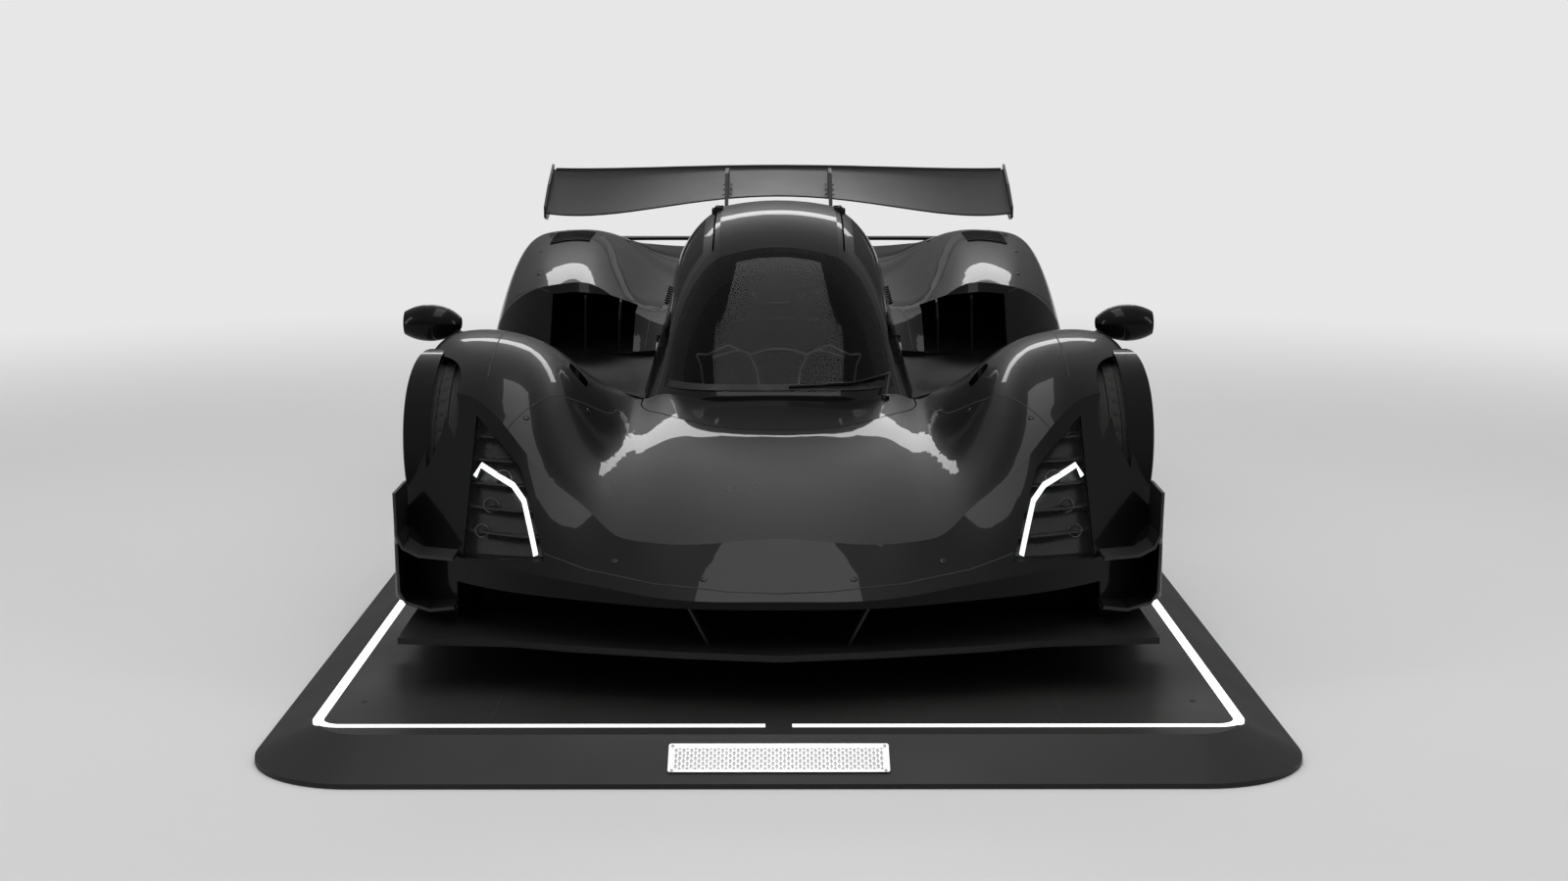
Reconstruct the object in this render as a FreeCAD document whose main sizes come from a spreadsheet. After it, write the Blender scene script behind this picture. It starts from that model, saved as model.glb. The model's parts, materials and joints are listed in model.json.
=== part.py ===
import FreeCAD, Part
import Sketcher
import math
import os
from collections import namedtuple
from types import SimpleNamespace

# A mid-engined hypercar with a narrow tandem canopy, parked on its low display plinth.
# Row frame: +X to the car's left side, +Y to its tail, +Z up, origin at the middle of the plinth's foot.
# Car tables give distances back from the front axle and heights above the plinth's top, in millimetres.

Vector = FreeCAD.Vector
doc = FreeCAD.newDocument("hypercar")
sheet = doc.addObject("Spreadsheet::Sheet", "sizes")

drivingSizes = {
    # plinth
    "plinthLength": 5420, "plinthWidth": 2400, "plinthHeight": 80, "plinthFoot": 12, "plinthRamp": 145,
    "plinthCorner": 260, "stripWidth": 2144, "stripLength": 5018, "stripBand": 25, "stripDeep": 6,
    "stripCorner": 70, "stripBreak": 62, "stripGap": 0.2,
    "plateWide": 490, "plateLong": 92, "plateThick": 4, "plateCorner": 6,
    # chassis
    "wheelbase": 2720, "frontAxleY": -1335, "rideHeight": 92, "floorThick": 12, "floorHalf": 900,
    "keelHalf": 390, "tubWall": 40, "footwellHalf": 400, "footwellTop": 430, "footwellNose": 330,
    "footwellFront": -400, "footwellKnee": -170, "cabinFront": 500, "cabinRear": 1620, "cabinHalf": 610,
    "sillTop": 330, "sillWide": 120, "doorDrop": 70, "bulkheadThick": 45, "seatGap": 0.3,
    "jackPadRadius": 32, "jackPadDrop": 8, "jackPadX": 560, "jackPadFront": 640, "jackPadRear": 1480,
    # wheels
    "frontWheelX": 845, "frontTyreRadius": 346.5, "frontTyreWide": 265, "frontRimRadius": 254,
    "rearWheelX": 842, "rearTyreRadius": 364, "rearTyreWide": 325, "rearRimRadius": 267,
    "tyreGap": 0.3, "tyreShoulder": 30, "beadInset": 22, "rimLip": 10, "rimDeep": 22,
    "wheelSpokes": 10, "spokeRoot": 34, "spokeTip": 20, "spokeThick": 36, "hubRadius": 62, "hubLong": 46,
    "hubBore": 24, "fit": 0.05, "discRadius": 190, "discThick": 34, "bellRadius": 82, "bellWall": 12,
    "archRoom": 16, "steerAxisX": 790, "steerAngle": 25, "armLift": 125, "armRadius": 12,
    # skin
    "skinWall": 34, "edgeWall": 12, "edgeSet": 40, "glassThick": 7, "shutGap": 6, "pillarGap": 8,
    "doorWall": 46, "pillarWide": 34, "railHalf": 205, "hoopWide": 60,
    "hingeBack": 1390, "hingeLong": 90, "hingeLug": 14, "hingeHigh": 1024, "hingeBarrel": 8, "hingePin": 4,
    "lampDeep": 60, "lampCover": 4, "lampBack": 12, "lampFins": 5, "lampFin": 4, "lampLine": 11,
    # aero
    "splitterThick": 16, "canardThick": 8,
    "wingLead": 3190, "wingSpan": 1950, "wingChord": 350, "wingPlateThick": 10, "pylonApart": 430, "pylonThick": 14,
    "diffuserFins": 7, "finThick": 10,
    # cabin and tail
    "cushionWide": 400, "cushionLong": 380, "seatPitch": 375, "seatFront": 770, "dashDeep": 100, "dashWide": 600,
    "steerRing": 150, "steerGrip": 13, "columnRadius": 14, "columnReach": 103, "steerLean": 17.73,
    "tipRadius": 52, "tipWall": 6, "tipApart": 150, "fasciaThick": 40, "slatPitch": 34, "slatOpen": 22,
}
for row, (name, value) in enumerate(drivingSizes.items(), 1):
    sheet.set("A%d" % row, name)
    sheet.set("B%d" % row, str(value))
    sheet.setAlias("B%d" % row, name)
doc.recompute()


class Measure:
    """A length that keeps both its number and the sheet expression that it comes from."""

    def __init__(self, value, text):
        self.value = value
        self.text = text

    def joined(self, other, sign, value, swap=False):
        first, second = (other, self) if swap else (self, other)
        texts = [item.text if isinstance(item, Measure) else repr(item) for item in (first, second)]
        return Measure(value, "(%s %s %s)" % (texts[0], sign, texts[1]))

    def __add__(self, other):
        return self.joined(other, "+", self.value + float(other))

    def __radd__(self, other):
        return self.joined(other, "+", self.value + float(other), True)

    def __sub__(self, other):
        return self.joined(other, "-", self.value - float(other))

    def __rsub__(self, other):
        return self.joined(other, "-", float(other) - self.value, True)

    def __mul__(self, other):
        return self.joined(other, "*", self.value * float(other))

    def __rmul__(self, other):
        return self.joined(other, "*", self.value * float(other), True)

    def __truediv__(self, other):
        return self.joined(other, "/", self.value / float(other))

    def __neg__(self):
        return Measure(-self.value, "(-%s)" % self.text)

    def __float__(self):
        return float(self.value)


size = SimpleNamespace(**{name: float(sheet.get(name)) for name in drivingSizes})
cell = SimpleNamespace(**{name: Measure(float(sheet.get(name)), "sizes." + name) for name in drivingSizes})
frontAxle = size.frontAxleY
rearAxle = frontAxle + size.wheelbase
ground = size.plinthHeight
pieces = []


def point(x, back, height):
    """A place on the car: sideways, back from the front axle, above the plinth's top."""
    return Vector(x, frontAxle + back, ground + height)


def behind(back):
    """A distance back from the front axle as a sheet length along Y."""
    return cell.frontAxleY + back


def above(height):
    """A height above the plinth's top as a sheet length along Z."""
    return cell.plinthHeight + height


def bind(item, **sizes):
    """Ties an object's properties to sheet lengths; an underscore stands for a dot in the path."""
    for path, length in sizes.items():
        item.setExpression(path.replace("_", "."), length.text if isinstance(length, Measure) else repr(length))
    return item


def finished(piece, name):
    """Lists a document object as a sub-part."""
    piece.Label = name
    pieces.append(piece)
    return piece


def keep(name, shape):
    """Stores a skin or other free form as its own document object."""
    piece = doc.addObject("Part::Feature", name)
    piece.Shape = shape
    return finished(piece, name)


def newBody(name):
    body = doc.addObject("PartDesign::Body", name)
    body.AllowCompound = True
    return body


def originOf(body, role):
    return next(item for item in body.Origin.OriginFeatures if item.Role == role)


def sketchOn(body, role, offset=None):
    sketch = body.newObject("Sketcher::SketchObject", "Outline")
    sketch.AttachmentSupport = (originOf(body, role), "")
    sketch.MapMode = "FlatFace"
    if offset is not None:
        bind(sketch, AttachmentOffset_Base_z=offset)
    return sketch


def pinned(sketch, geometry, end, spot):
    """Dimensions one vertex from the sketch's axes."""
    for kind, axis, length in (("DistanceX", -2, spot[0]), ("DistanceY", -1, spot[1])):
        if not isinstance(length, Measure) and length == 0:
            sketch.addConstraint(Sketcher.Constraint("PointOnObject", geometry, end, axis))
            continue
        number = sketch.addConstraint(Sketcher.Constraint(kind, geometry, end, float(length)))
        if isinstance(length, Measure):
            sketch.setExpression("Constraints[%d]" % number, length.text)


def trace(sketch, corners):
    """A closed outline; a corner with a third value ends an arc of that radius, minus for a right turn."""
    first = sketch.GeometryCount
    shapes = []
    ends = []
    for index, corner in enumerate(corners):
        start = Vector(float(corners[index - 1][0]), float(corners[index - 1][1]), 0)
        end = Vector(float(corner[0]), float(corner[1]), 0)
        if len(corner) == 2:
            shapes.append(Part.LineSegment(start, end))
            ends.append((1, 2))
            continue
        radius = abs(float(corner[2]))
        leftTurn = float(corner[2]) > 0
        way = end - start
        away = Vector(-way.y, way.x, 0).normalize() * math.sqrt(radius ** 2 - way.Length ** 2 / 4)
        centre = (start + end) * 0.5 + (away if leftTurn else -away)
        begin, finish = (start, end) if leftTurn else (end, start)
        angles = [math.atan2(spot.y - centre.y, spot.x - centre.x) for spot in (begin, finish)]
        shapes.append(Part.ArcOfCircle(Part.Circle(centre, Vector(0, 0, 1), radius), *angles))
        ends.append((1, 2) if leftTurn else (2, 1))
    sketch.addGeometry(shapes, False)
    for index, corner in enumerate(corners):
        follower = (index + 1) % len(corners)
        sketch.addConstraint(Sketcher.Constraint(
            "Coincident", first + index, ends[index][1], first + follower, ends[follower][0]))
        pinned(sketch, first + index, ends[index][1], corner)
        if len(corner) == 3:
            number = sketch.addConstraint(Sketcher.Constraint("Radius", first + index, abs(float(corner[2]))))
            if isinstance(corner[2], Measure):
                text = corner[2].text if float(corner[2]) > 0 else (-corner[2]).text
                sketch.setExpression("Constraints[%d]" % number, text)
    return sketch


def roundHole(sketch, centre, radius):
    """A circle with its centre dimensioned from the sketch's axes."""
    geometry = sketch.addGeometry(
        Part.Circle(Vector(float(centre[0]), float(centre[1]), 0), Vector(0, 0, 1), float(radius)), False)
    number = sketch.addConstraint(Sketcher.Constraint("Radius", geometry, float(radius)))
    if isinstance(radius, Measure):
        sketch.setExpression("Constraints[%d]" % number, radius.text)
    if centre == (0, 0):
        sketch.addConstraint(Sketcher.Constraint("Coincident", geometry, 3, -1, 1))
    else:
        pinned(sketch, geometry, 3, centre)
    return sketch


def pad(body, sketch, length, back=False, middle=False):
    feature = body.newObject("PartDesign::Pad", "Pad")
    feature.Profile = sketch
    feature.Reversed = back
    feature.Midplane = middle
    return bind(feature, Length=length)


def pocket(body, sketch, length, back=False, middle=False):
    feature = body.newObject("PartDesign::Pocket", "Pocket")
    feature.Profile = sketch
    feature.Reversed = back
    feature.Midplane = middle
    return bind(feature, Length=length)


def revolution(body, sketch, role):
    feature = body.newObject("PartDesign::Revolution", "Revolution")
    feature.Profile = sketch
    feature.ReferenceAxis = (originOf(body, role), [""])
    feature.Angle = 360
    return feature


def twin(body, features):
    """Repeats features on the car's other side."""
    feature = body.newObject("PartDesign::Mirrored", "Mirrored")
    feature.Originals = features
    feature.MirrorPlane = (originOf(body, "YZ_Plane"), [""])
    body.Tip = feature
    return feature


def block(x0, x1, back0, back1, low, high):
    """A box between two corners given in car coordinates."""
    return Part.makeBox(x1 - x0, back1 - back0, high - low, point(x0, back0, low))


def mirrored(shape):
    """The same form on the car's other side."""
    return shape.mirror(Vector(0, 0, 0), Vector(1, 0, 0))


def bothSides(shape):
    """A pair of like solids, one on each side."""
    return Part.makeCompound([shape, mirrored(shape)])


def chain(start, steps):
    """A closed wire: a 1-tuple is the end of a line, a 2-tuple the middle and end of an arc."""
    edges = []
    here = start
    for step in steps:
        if len(step) == 1:
            edges.append(Part.LineSegment(here, step[0]).toShape())
        else:
            edges.append(Part.Arc(here, step[0], step[1]).toShape())
        here = step[-1]
    if here.distanceToPoint(start) > 1e-6:
        edges.append(Part.LineSegment(here, start).toShape())
    return Part.Wire(edges)


def loft(wires, ruled=False):
    """A closed solid through a few like sections."""
    return Part.makeLoft(wires, True, ruled)


def rod(start, end, radius):
    """A round bar between two points."""
    way = end - start
    return Part.makeCylinder(radius, way.Length, start, way)


def prism(points, way):
    """A flat outline pushed along a vector."""
    return Part.Face(Part.makePolygon(points + points[:1])).extrude(way)


def ribbon(line, thick, back0, back1):
    """A bent sheet: a front-view line of (x, height) places, thickened and run from front to back."""
    upper = []
    lower = []
    for index, (x, high) in enumerate(line):
        before = line[max(index - 1, 0)]
        after = line[min(index + 1, len(line) - 1)]
        way = Vector(after[0] - before[0], 0, after[1] - before[1]).normalize()
        side = Vector(-way.z, 0, way.x) * (thick / 2)
        upper.append(point(x, back0, high) + side)
        lower.append(point(x, back0, high) - side)
    return prism(upper + lower[::-1], Vector(0, back1 - back0, 0))


def sideHull(rows, bottom):
    """Body half from lengthwise profiles: nose face, ridge, crown and rear edge at each sideways place."""
    wires = []
    for row in [row._replace(x=-row.x) for row in reversed(rows[1:])] + rows:
        wires.append(chain(point(row.x, row.noseBack, bottom), [
            (point(row.x, row.noseBack, row.noseHigh),),
            (point(row.x, row.ridgeBack, row.ridgeHigh),),
            (point(row.x, row.crownBack, row.crownHigh), point(row.x, row.rearBack, row.rearHigh)),
            (point(row.x, row.rearBack, bottom),)]))
    return loft(wires)


# Front and rear body halves, as lengthwise profiles from the middle outwards.
Profile = namedtuple("Profile", "x noseBack noseHigh ridgeBack ridgeHigh crownBack crownHigh rearBack rearHigh")
frontProfiles = [
    Profile(0, -940, 235, -740, 345, -150, 455, 540, 545),
    Profile(230, -925, 235, -740, 330, -150, 452, 540, 540),
    Profile(345, -892, 243, -720, 335, -150, 454, 540, 528),
    Profile(405, -868, 250, -690, 345, -150, 452, 540, 508),
    Profile(470, -842, 256, -610, 385, -130, 490, 540, 530),
    Profile(600, -785, 266, -510, 470, -70, 655, 540, 580),
    Profile(730, -700, 273, -370, 590, 40, 737, 540, 640),
    Profile(880, -560, 285, -255, 630, 60, 744, 540, 650),
    Profile(960, -470, 292, -240, 575, 60, 705, 540, 600),
    Profile(1000, -400, 300, -220, 500, 60, 615, 540, 520),
]
rearFront = size.cabinRear
rearProfiles = [
    Profile(0, rearFront, 560, 1800, 600, 2700, 690, 3560, 735),
    Profile(300, rearFront, 540, 1800, 580, 2700, 670, 3560, 735),
    Profile(470, rearFront, 515, 1790, 610, 2650, 690, 3560, 740),
    Profile(600, rearFront, 522, 1775, 700, 2600, 780, 3560, 752),
    Profile(740, rearFront, 535, 1765, 742, 2560, 852, 3560, 762),
    Profile(900, rearFront, 500, 1800, 700, 2560, 838, 3560, 765),
    Profile(1000, rearFront, 432, 1850, 600, 2560, 780, 3560, 740),
    Profile(1025, rearFront, 392, 1900, 540, 2560, 715, 3560, 690),
]

# Canopy: the same round-shouldered section, scaled at each station.
Station = namedtuple("Station", "back half base top")
canopyStations = [
    Station(385, 330, 480, 537),
    Station(600, 412, 475, 718),
    Station(850, 428, 472, 893),
    Station(1120, 430, 475, 1004),
    Station(1420, 424, 488, 1045),
    Station(1900, 372, 520, 1015),
    Station(2500, 255, 580, 915),
    Station(3150, 90, 640, 790),
]


def canopySolid(inset, below=0.0):
    """The canopy's volume, drawn in at its sides and top by a wall and reaching further down."""
    wires = []
    for station in canopyStations:
        half = station.half - inset
        base = station.base - below
        tall = station.top - inset - base

        def spot(across, share):
            return point(across * half, station.back, base + share * tall)
        wires.append(chain(spot(-1.0, 0), [
            (spot(-0.81, 0.55),),
            (spot(-0.69, 0.81), spot(-0.44, 0.965)),
            (spot(0.0, 1.0), spot(0.44, 0.965)),
            (spot(0.69, 0.81), spot(0.81, 0.55)),
            (spot(1.0, 0),)]))
    return loft(wires)


def roundedPlan(halfX, halfY, radius):
    """Corners of a rectangle with round corners."""
    return [(halfX - radius, -halfY), (halfX, radius - halfY, radius), (halfX, halfY - radius),
            (halfX - radius, halfY, radius), (radius - halfX, halfY), (-halfX, halfY - radius, radius),
            (-halfX, radius - halfY), (radius - halfX, -halfY, radius)]


def bandPlan(grow):
    """A thin band round the deck with a short break in front, widened all round."""
    halfX = cell.stripWidth / 2 + grow
    halfY = cell.stripLength / 2 + grow
    radius = cell.stripCorner + grow
    inX = halfX - cell.stripBand - 2 * grow
    inY = halfY - cell.stripBand - 2 * grow
    small = cell.stripCorner - cell.stripBand - grow
    part = cell.stripBreak / 2 - grow
    return [(part, -halfY)] + roundedPlan(halfX, halfY, radius) + [
        (-part, -halfY), (-part, -inY), (small - inX, -inY), (-inX, small - inY, -small), (-inX, inY - small),
        (small - inX, inY, -small), (inX - small, inY), (inX, inY - small, -small), (inX, small - inY),
        (inX - small, -inY, -small), (part, -inY)]


def plinthPieces():
    """Low ramped plinth with rounded corners, its light line and the plate on the front ramp."""
    halfX = cell.plinthWidth / 2
    halfY = cell.plinthLength / 2
    body = newBody("plinth")
    pad(body, trace(sketchOn(body, "XY_Plane"), roundedPlan(halfX, halfY, cell.plinthCorner)), cell.plinthFoot)
    low = trace(sketchOn(body, "XY_Plane", cell.plinthFoot), roundedPlan(halfX, halfY, cell.plinthCorner))
    ramp = cell.plinthRamp
    deck = trace(sketchOn(body, "XY_Plane", cell.plinthHeight),
                 roundedPlan(halfX - ramp, halfY - ramp, cell.plinthCorner - ramp))
    slope = body.newObject("PartDesign::AdditiveLoft", "Ramp")
    slope.Profile = low
    slope.Sections = [deck]
    slope.Ruled = True
    pocket(body, trace(sketchOn(body, "XY_Plane", cell.plinthHeight), bandPlan(cell.stripGap)),
           cell.stripDeep + cell.stripGap)
    finished(body, "plinth")
    band = newBody("plinth_light_strip")
    level = cell.plinthHeight - cell.stripDeep
    pad(band, trace(sketchOn(band, "XY_Plane", level), bandPlan(Measure(0.0, "0"))), cell.stripDeep)
    finished(band, "plinth_light_strip")

    rise = cell.plinthHeight - cell.plinthFoot
    angle = math.atan2(float(rise), float(ramp))
    tilt = "atan2(%s; %s)" % (rise.text, ramp.text)
    plate = newBody("plinth_plate")
    half = cell.plateWide / 2
    slab = pad(plate, trace(sketchOn(plate, "XY_Plane"), [
        (half, 0), (half, cell.plateLong), (-half, cell.plateLong), (-half, 0)]), cell.plateThick)
    doc.recompute()
    corners = ["Edge%d" % (number + 1) for number, edge in enumerate(slab.Shape.Edges)
               if abs(edge.tangentAt(edge.FirstParameter).z) > 0.9]
    rounded = plate.newObject("PartDesign::Fillet", "Corners")
    rounded.Base = (slab, corners)
    bind(rounded, Radius=cell.plateCorner)
    plate.Placement = FreeCAD.Placement(Vector(), FreeCAD.Rotation(Vector(1, 0, 0), math.degrees(angle)))
    bind(plate, Placement_Rotation_Angle=Measure(math.degrees(angle), tilt),
         Placement_Base_y=ramp / 2 - cell.plinthLength / 2 - cell.plateLong / 2 * Measure(math.cos(angle), "cos(%s)" % tilt),
         Placement_Base_z=cell.plinthFoot + rise / 2 - cell.plateLong / 2 * Measure(math.sin(angle), "sin(%s)" % tilt))
    finished(plate, "plinth_plate")


def wheelWell(rear):
    """Room for a wheel, its arms and its steering swing, open at the outer side and below."""
    middle = size.wheelbase if rear else 0.0
    radius = (size.rearTyreRadius if rear else size.frontTyreRadius) + size.archRoom
    lift = size.rearTyreRadius if rear else size.frontTyreRadius
    across = size.rearWheelX if rear else size.frontWheelX
    wide = (size.rearTyreWide if rear else size.frontTyreWide) + 2 * size.archRoom
    inner = across - wide / 2

    def drum(start, long):
        tall = Part.makeCylinder(radius, long, point(start, middle, lift), Vector(1, 0, 0))
        return tall.fuse(block(start, start + long, middle - radius, middle + radius, -50, lift))
    room = drum(inner, 500)
    if not rear:
        pivot = point(size.steerAxisX, 0, 0)
        swept = []
        for share in (-1, -0.5, 0.5, 1):
            turned = drum(inner, wide)
            turned.rotate(pivot, Vector(0, 0, 1), share * size.steerAngle)
            swept.append(turned)
        room = room.fuse(swept)
    armInner = 430 if rear else size.footwellHalf
    lowRoof = 520 if rear else 440
    return room.fuse([block(armInner, inner + 60, middle - 220, middle + 220, 50, lowRoof),
                      block(armInner + 90, inner + 60, middle - 200, middle + 200, 50, lowRoof + 60)])


# Corner places of a headlamp and of its bright line, in front view.
LampCorner = namedtuple("LampCorner", "x high")
lampPlan = [LampCorner(572, 292), LampCorner(655, 478), LampCorner(700, 520), LampCorner(786, 590), LampCorner(786, 280)]
linePlan = [LampCorner(776, 452), LampCorner(762, 478), LampCorner(672, 440), LampCorner(640, 408), LampCorner(596, 300)]


def frontView(corners, deep=700.0):
    """A front-view outline run through the whole nose."""
    return prism([point(x, -900, high) for x, high in corners], Vector(0, deep, 0))


def lampPieces(hull):
    """The lamp's pocket, its louvred housing, bright line and clear cover, all following the skin."""
    centreX = sum(corner.x for corner in lampPlan) / len(lampPlan)
    centreHigh = sum(corner.high for corner in lampPlan) / len(lampPlan)

    def shrunk(share):
        return [(centreX + (x - centreX) * share, centreHigh + (high - centreHigh) * share) for x, high in lampPlan]
    region = hull.common(frontView(shrunk(1)))

    def layer(core, near, far):
        return core.translated(Vector(0, near, 0)).cut(region.translated(Vector(0, far, 0)))
    slip = 0.4
    lampPocket = layer(region, 0, size.lampDeep)
    core = region.common(frontView(shrunk(0.985)))
    housing = layer(core, size.lampDeep - slip - size.lampBack, size.lampDeep - slip)
    low = min(corner.high for corner in lampPlan)
    high = max(corner.high for corner in lampPlan)
    pitch = (high - low) / (size.lampFins + 1)
    fins = []
    for count in range(1, int(size.lampFins) + 1):
        level = low + pitch * count
        bar = block(500, 840, -900, -200, level, level + size.lampFin)
        fins.append(layer(core.common(bar), 24, size.lampDeep - slip - 1))
    housing = housing.fuse(fins)
    sheetLine = ribbon(linePlan, size.lampLine, -900, -200)
    glow = layer(core.common(sheetLine), 12, 22)
    cover = layer(region.common(frontView(shrunk(0.975))), 1, 1 + size.lampCover)
    return lampPocket, housing, glow, cover


def frontBody():
    """Nose, fenders and bonnet with open arches and mouth, and the cowl behind its shut line."""
    bottom = size.rideHeight + size.floorThick + size.splitterThick
    hull = sideHull(frontProfiles, bottom)
    gap = size.shutGap
    lampPocket, housing, glow, cover = lampPieces(hull)
    # door shut line and everything behind it
    hull = hull.cut(block(-1100, 1100, size.cabinFront + 20 - gap, 900, 0, 900))
    hull = hull.cut(canopyOuter)
    well = wheelWell(False)
    hull = hull.cut(well).cut(mirrored(well))
    hull = hull.cut(footwellSolid(0.3, 0))
    hull = hull.cut(block(-size.cabinHalf - 0.3, size.cabinHalf + 0.3, size.cabinFront - 0.3, 900,
                          0, size.sillTop + 0.3))
    hull = hull.cut(lampPocket).cut(mirrored(lampPocket))
    # full width mouth under the bumper lip
    mouthBack = -470
    mouth = prism([point(-900, -1000, bottom - 1), point(900, -1000, bottom - 1),
                   point(760, mouthBack, bottom - 1), point(-760, mouthBack, bottom - 1)], Vector(0, 0, 96))
    hull = hull.cut(mouth)
    # oval vents low on the fenders' inner flanks
    slot = Part.makeCylinder(25, 900, point(565, 120, 0)).fuse([
        Part.makeCylinder(25, 900, point(565, 180, 0)), block(540, 590, 120, 180, 0, 900)])
    column = hull.common(slot)
    vent = column.cut(column.translated(Vector(0, 0, -34)))
    hull = hull.cut(vent).cut(mirrored(vent))
    # cowl panel: bounded in front by a wide arc
    zoneFront = 60.0
    zoneRear = 420.0
    zoneHalf = 405.0

    def zone(grow):
        low = 440
        outline = chain(point(-zoneHalf - grow, zoneRear, low), [
            (point(0, zoneFront - grow, low), point(zoneHalf + grow, zoneRear, low)),
            (point(zoneHalf + grow, 700, low),),
            (point(-zoneHalf - grow, 700, low),)])
        return Part.Face(outline).extrude(Vector(0, 0, 200))
    cowl = hull.common(zone(0))
    hull = hull.cut(zone(4))
    return hull, cowl, housing, glow, cover


def footwellSolid(grow, low):
    """The footwell's volume: its roof falls towards the nose."""
    half = size.footwellHalf + grow
    front = size.footwellFront - grow
    rear = size.cabinFront + 10
    top = size.footwellTop + grow
    nose = size.footwellNose + grow
    return prism([point(-half, front, low), point(-half, front, nose), point(-half, size.footwellKnee, top),
                  point(-half, rear, top), point(-half, rear, low)], Vector(2 * half, 0, 0))


def tubPiece():
    """Carbon tub: floor, sills, footwell and bulkheads round a hollow cabin."""
    wall = size.tubWall
    low = size.rideHeight + size.floorThick
    foot = size.footwellHalf
    front = size.footwellFront
    cabinFront = size.cabinFront
    rear = size.cabinRear
    shell = footwellSolid(0, low)
    shell = shell.fuse(block(-size.cabinHalf, size.cabinHalf, cabinFront, rear, low, size.sillTop))
    inner = size.cabinHalf - size.sillWide
    shell = shell.cut(block(-inner, inner, cabinFront + 20, rear - 45, low + wall, 900))
    inside = footwellSolid(-wall, low + wall).common(block(-foot, foot, front + wall, cabinFront + 60, 0, 900))
    shell = shell.cut(inside).cut(block(-foot + wall, foot - wall, cabinFront - 30, cabinFront + 60, low + wall,
                                        size.footwellTop - wall))
    # rear bulkhead follows the canopy's inside, clear of the doors
    slab = block(-500, 500, rear - size.bulkheadThick, rear, 400, 1200)
    bulk = canopySolid(size.skinWall + size.shutGap + 2, below=40).common(slab)
    rail = size.railHalf - 1
    crest = canopySolid(size.skinWall + 0.2, below=40).common(
        block(-rail, rail, rear - size.bulkheadThick, rear, 400, 1200))
    lowHalf = 332
    bulk = bulk.fuse([crest, block(-lowHalf, lowHalf, rear - size.bulkheadThick, rear, low, 560)])
    return shell.fuse(bulk).removeSplitter()


def canopyWallPiece(zone, wall):
    """The part of the canopy's wall that lies in a zone."""
    return canopyOuter.common(zone).cut(canopySolid(wall, below=40))


def pillarPlane(offset):
    """Everything in front of the raked pillar line, moved back by an offset."""
    foot = (480 + offset, 480)
    head = (1010 + offset, 1000)
    slope = (head[0] - foot[0]) / (head[1] - foot[1])
    top = 1300
    return prism([point(-700, 0, foot[1] - 300), point(-700, foot[0] - 300 * slope, foot[1] - 300),
                  point(-700, head[0] + (top - head[1]) * slope, top), point(-700, 0, top)], Vector(1400, 0, 0))


DoorRow = namedtuple("DoorRow", "back innerX innerHigh middleHigh topX topHigh outX outHigh")
doorRows = [
    DoorRow(520, 400, 507, 572, 800, 650, 985, 510),
    DoorRow(800, 412, 495, 500, 790, 562, 952, 448),
    DoorRow(1240, 412, 495, 490, 780, 528, 928, 420),
    DoorRow(1614, 402, 500, 505, 790, 532, 968, 432),
]


def doorVolume(inset):
    """The shoulder and side of one door, drawn in by a wall."""
    wires = []
    low = size.sillTop - size.doorDrop - (10 if inset else 0)
    for row in doorRows:
        back = row.back
        if inset and row in (doorRows[0], doorRows[-1]):
            back += 20 if row is doorRows[-1] else -20
        innerX = row.innerX - (20 if inset else 0)
        sideX = row.outX - inset
        wires.append(chain(point(innerX, back, low), [
            (point(innerX, back, row.innerHigh - inset),),
            (point((innerX + row.topX) / 2, back, row.middleHigh - inset),
             point(row.topX - inset / 2, back, row.topHigh - inset)),
            (point((row.topX + sideX) / 2 + 35, back, (row.topHigh + row.outHigh) / 2 - inset + 24),
             point(sideX, back, row.outHigh - inset / 2)),
            (point(sideX - 25, back, low),)]))
    return loft(wires)


def doorParts():
    """Left door: shoulder shell with its window frame, and the pane in it."""
    front = size.cabinFront + 20
    rear = size.cabinRear - size.shutGap
    gap = size.shutGap
    lower = doorVolume(0).cut(doorVolume(size.doorWall)).cut(canopyOuter)
    railX = size.railHalf + gap
    upperRear = rear - size.hoopWide
    edge = size.pillarWide / 2 + size.pillarGap
    window = block(railX + 30, 1100, front + 10, upperRear - 40, 590, 1300).cut(pillarPlane(edge + 22))
    opening = block(railX, 1100, front, upperRear, 0, 1300).cut(pillarPlane(edge)).cut(window)
    thinEdge = canopySolid(size.edgeWall, below=40).common(pillarPlane(edge + size.edgeSet))
    panel = canopyWallPiece(opening, size.skinWall).cut(thinEdge).fuse(lower)
    hingeX = railX - gap / 2
    radius = size.hingeBarrel
    lugRoom = radius + 5
    for back in (size.hingeBack - size.hingeLug, size.hingeBack + size.hingeLong):
        panel = panel.cut(block(hingeX - lugRoom, hingeX + lugRoom, back - 2, back + size.hingeLug + 2,
                                size.hingeHigh - 40, size.hingeHigh + 40))
    start = point(hingeX, size.hingeBack + 1, size.hingeHigh)
    along = Vector(0, 1, 0)
    barrel = Part.makeCylinder(radius, size.hingeLong - 2, start, along)
    leaf = block(hingeX, hingeX + 16, size.hingeBack + 1, size.hingeBack + size.hingeLong - 1,
                 size.hingeHigh - 3 * radius, size.hingeHigh)
    pinRoom = Part.makeCylinder(size.hingePin + size.fit, size.hingeLong, start - along, along)
    panel = panel.fuse([barrel, leaf]).cut(pinRoom)
    glass = canopyWallPiece(window, size.glassThick)
    return panel, glass


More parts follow.
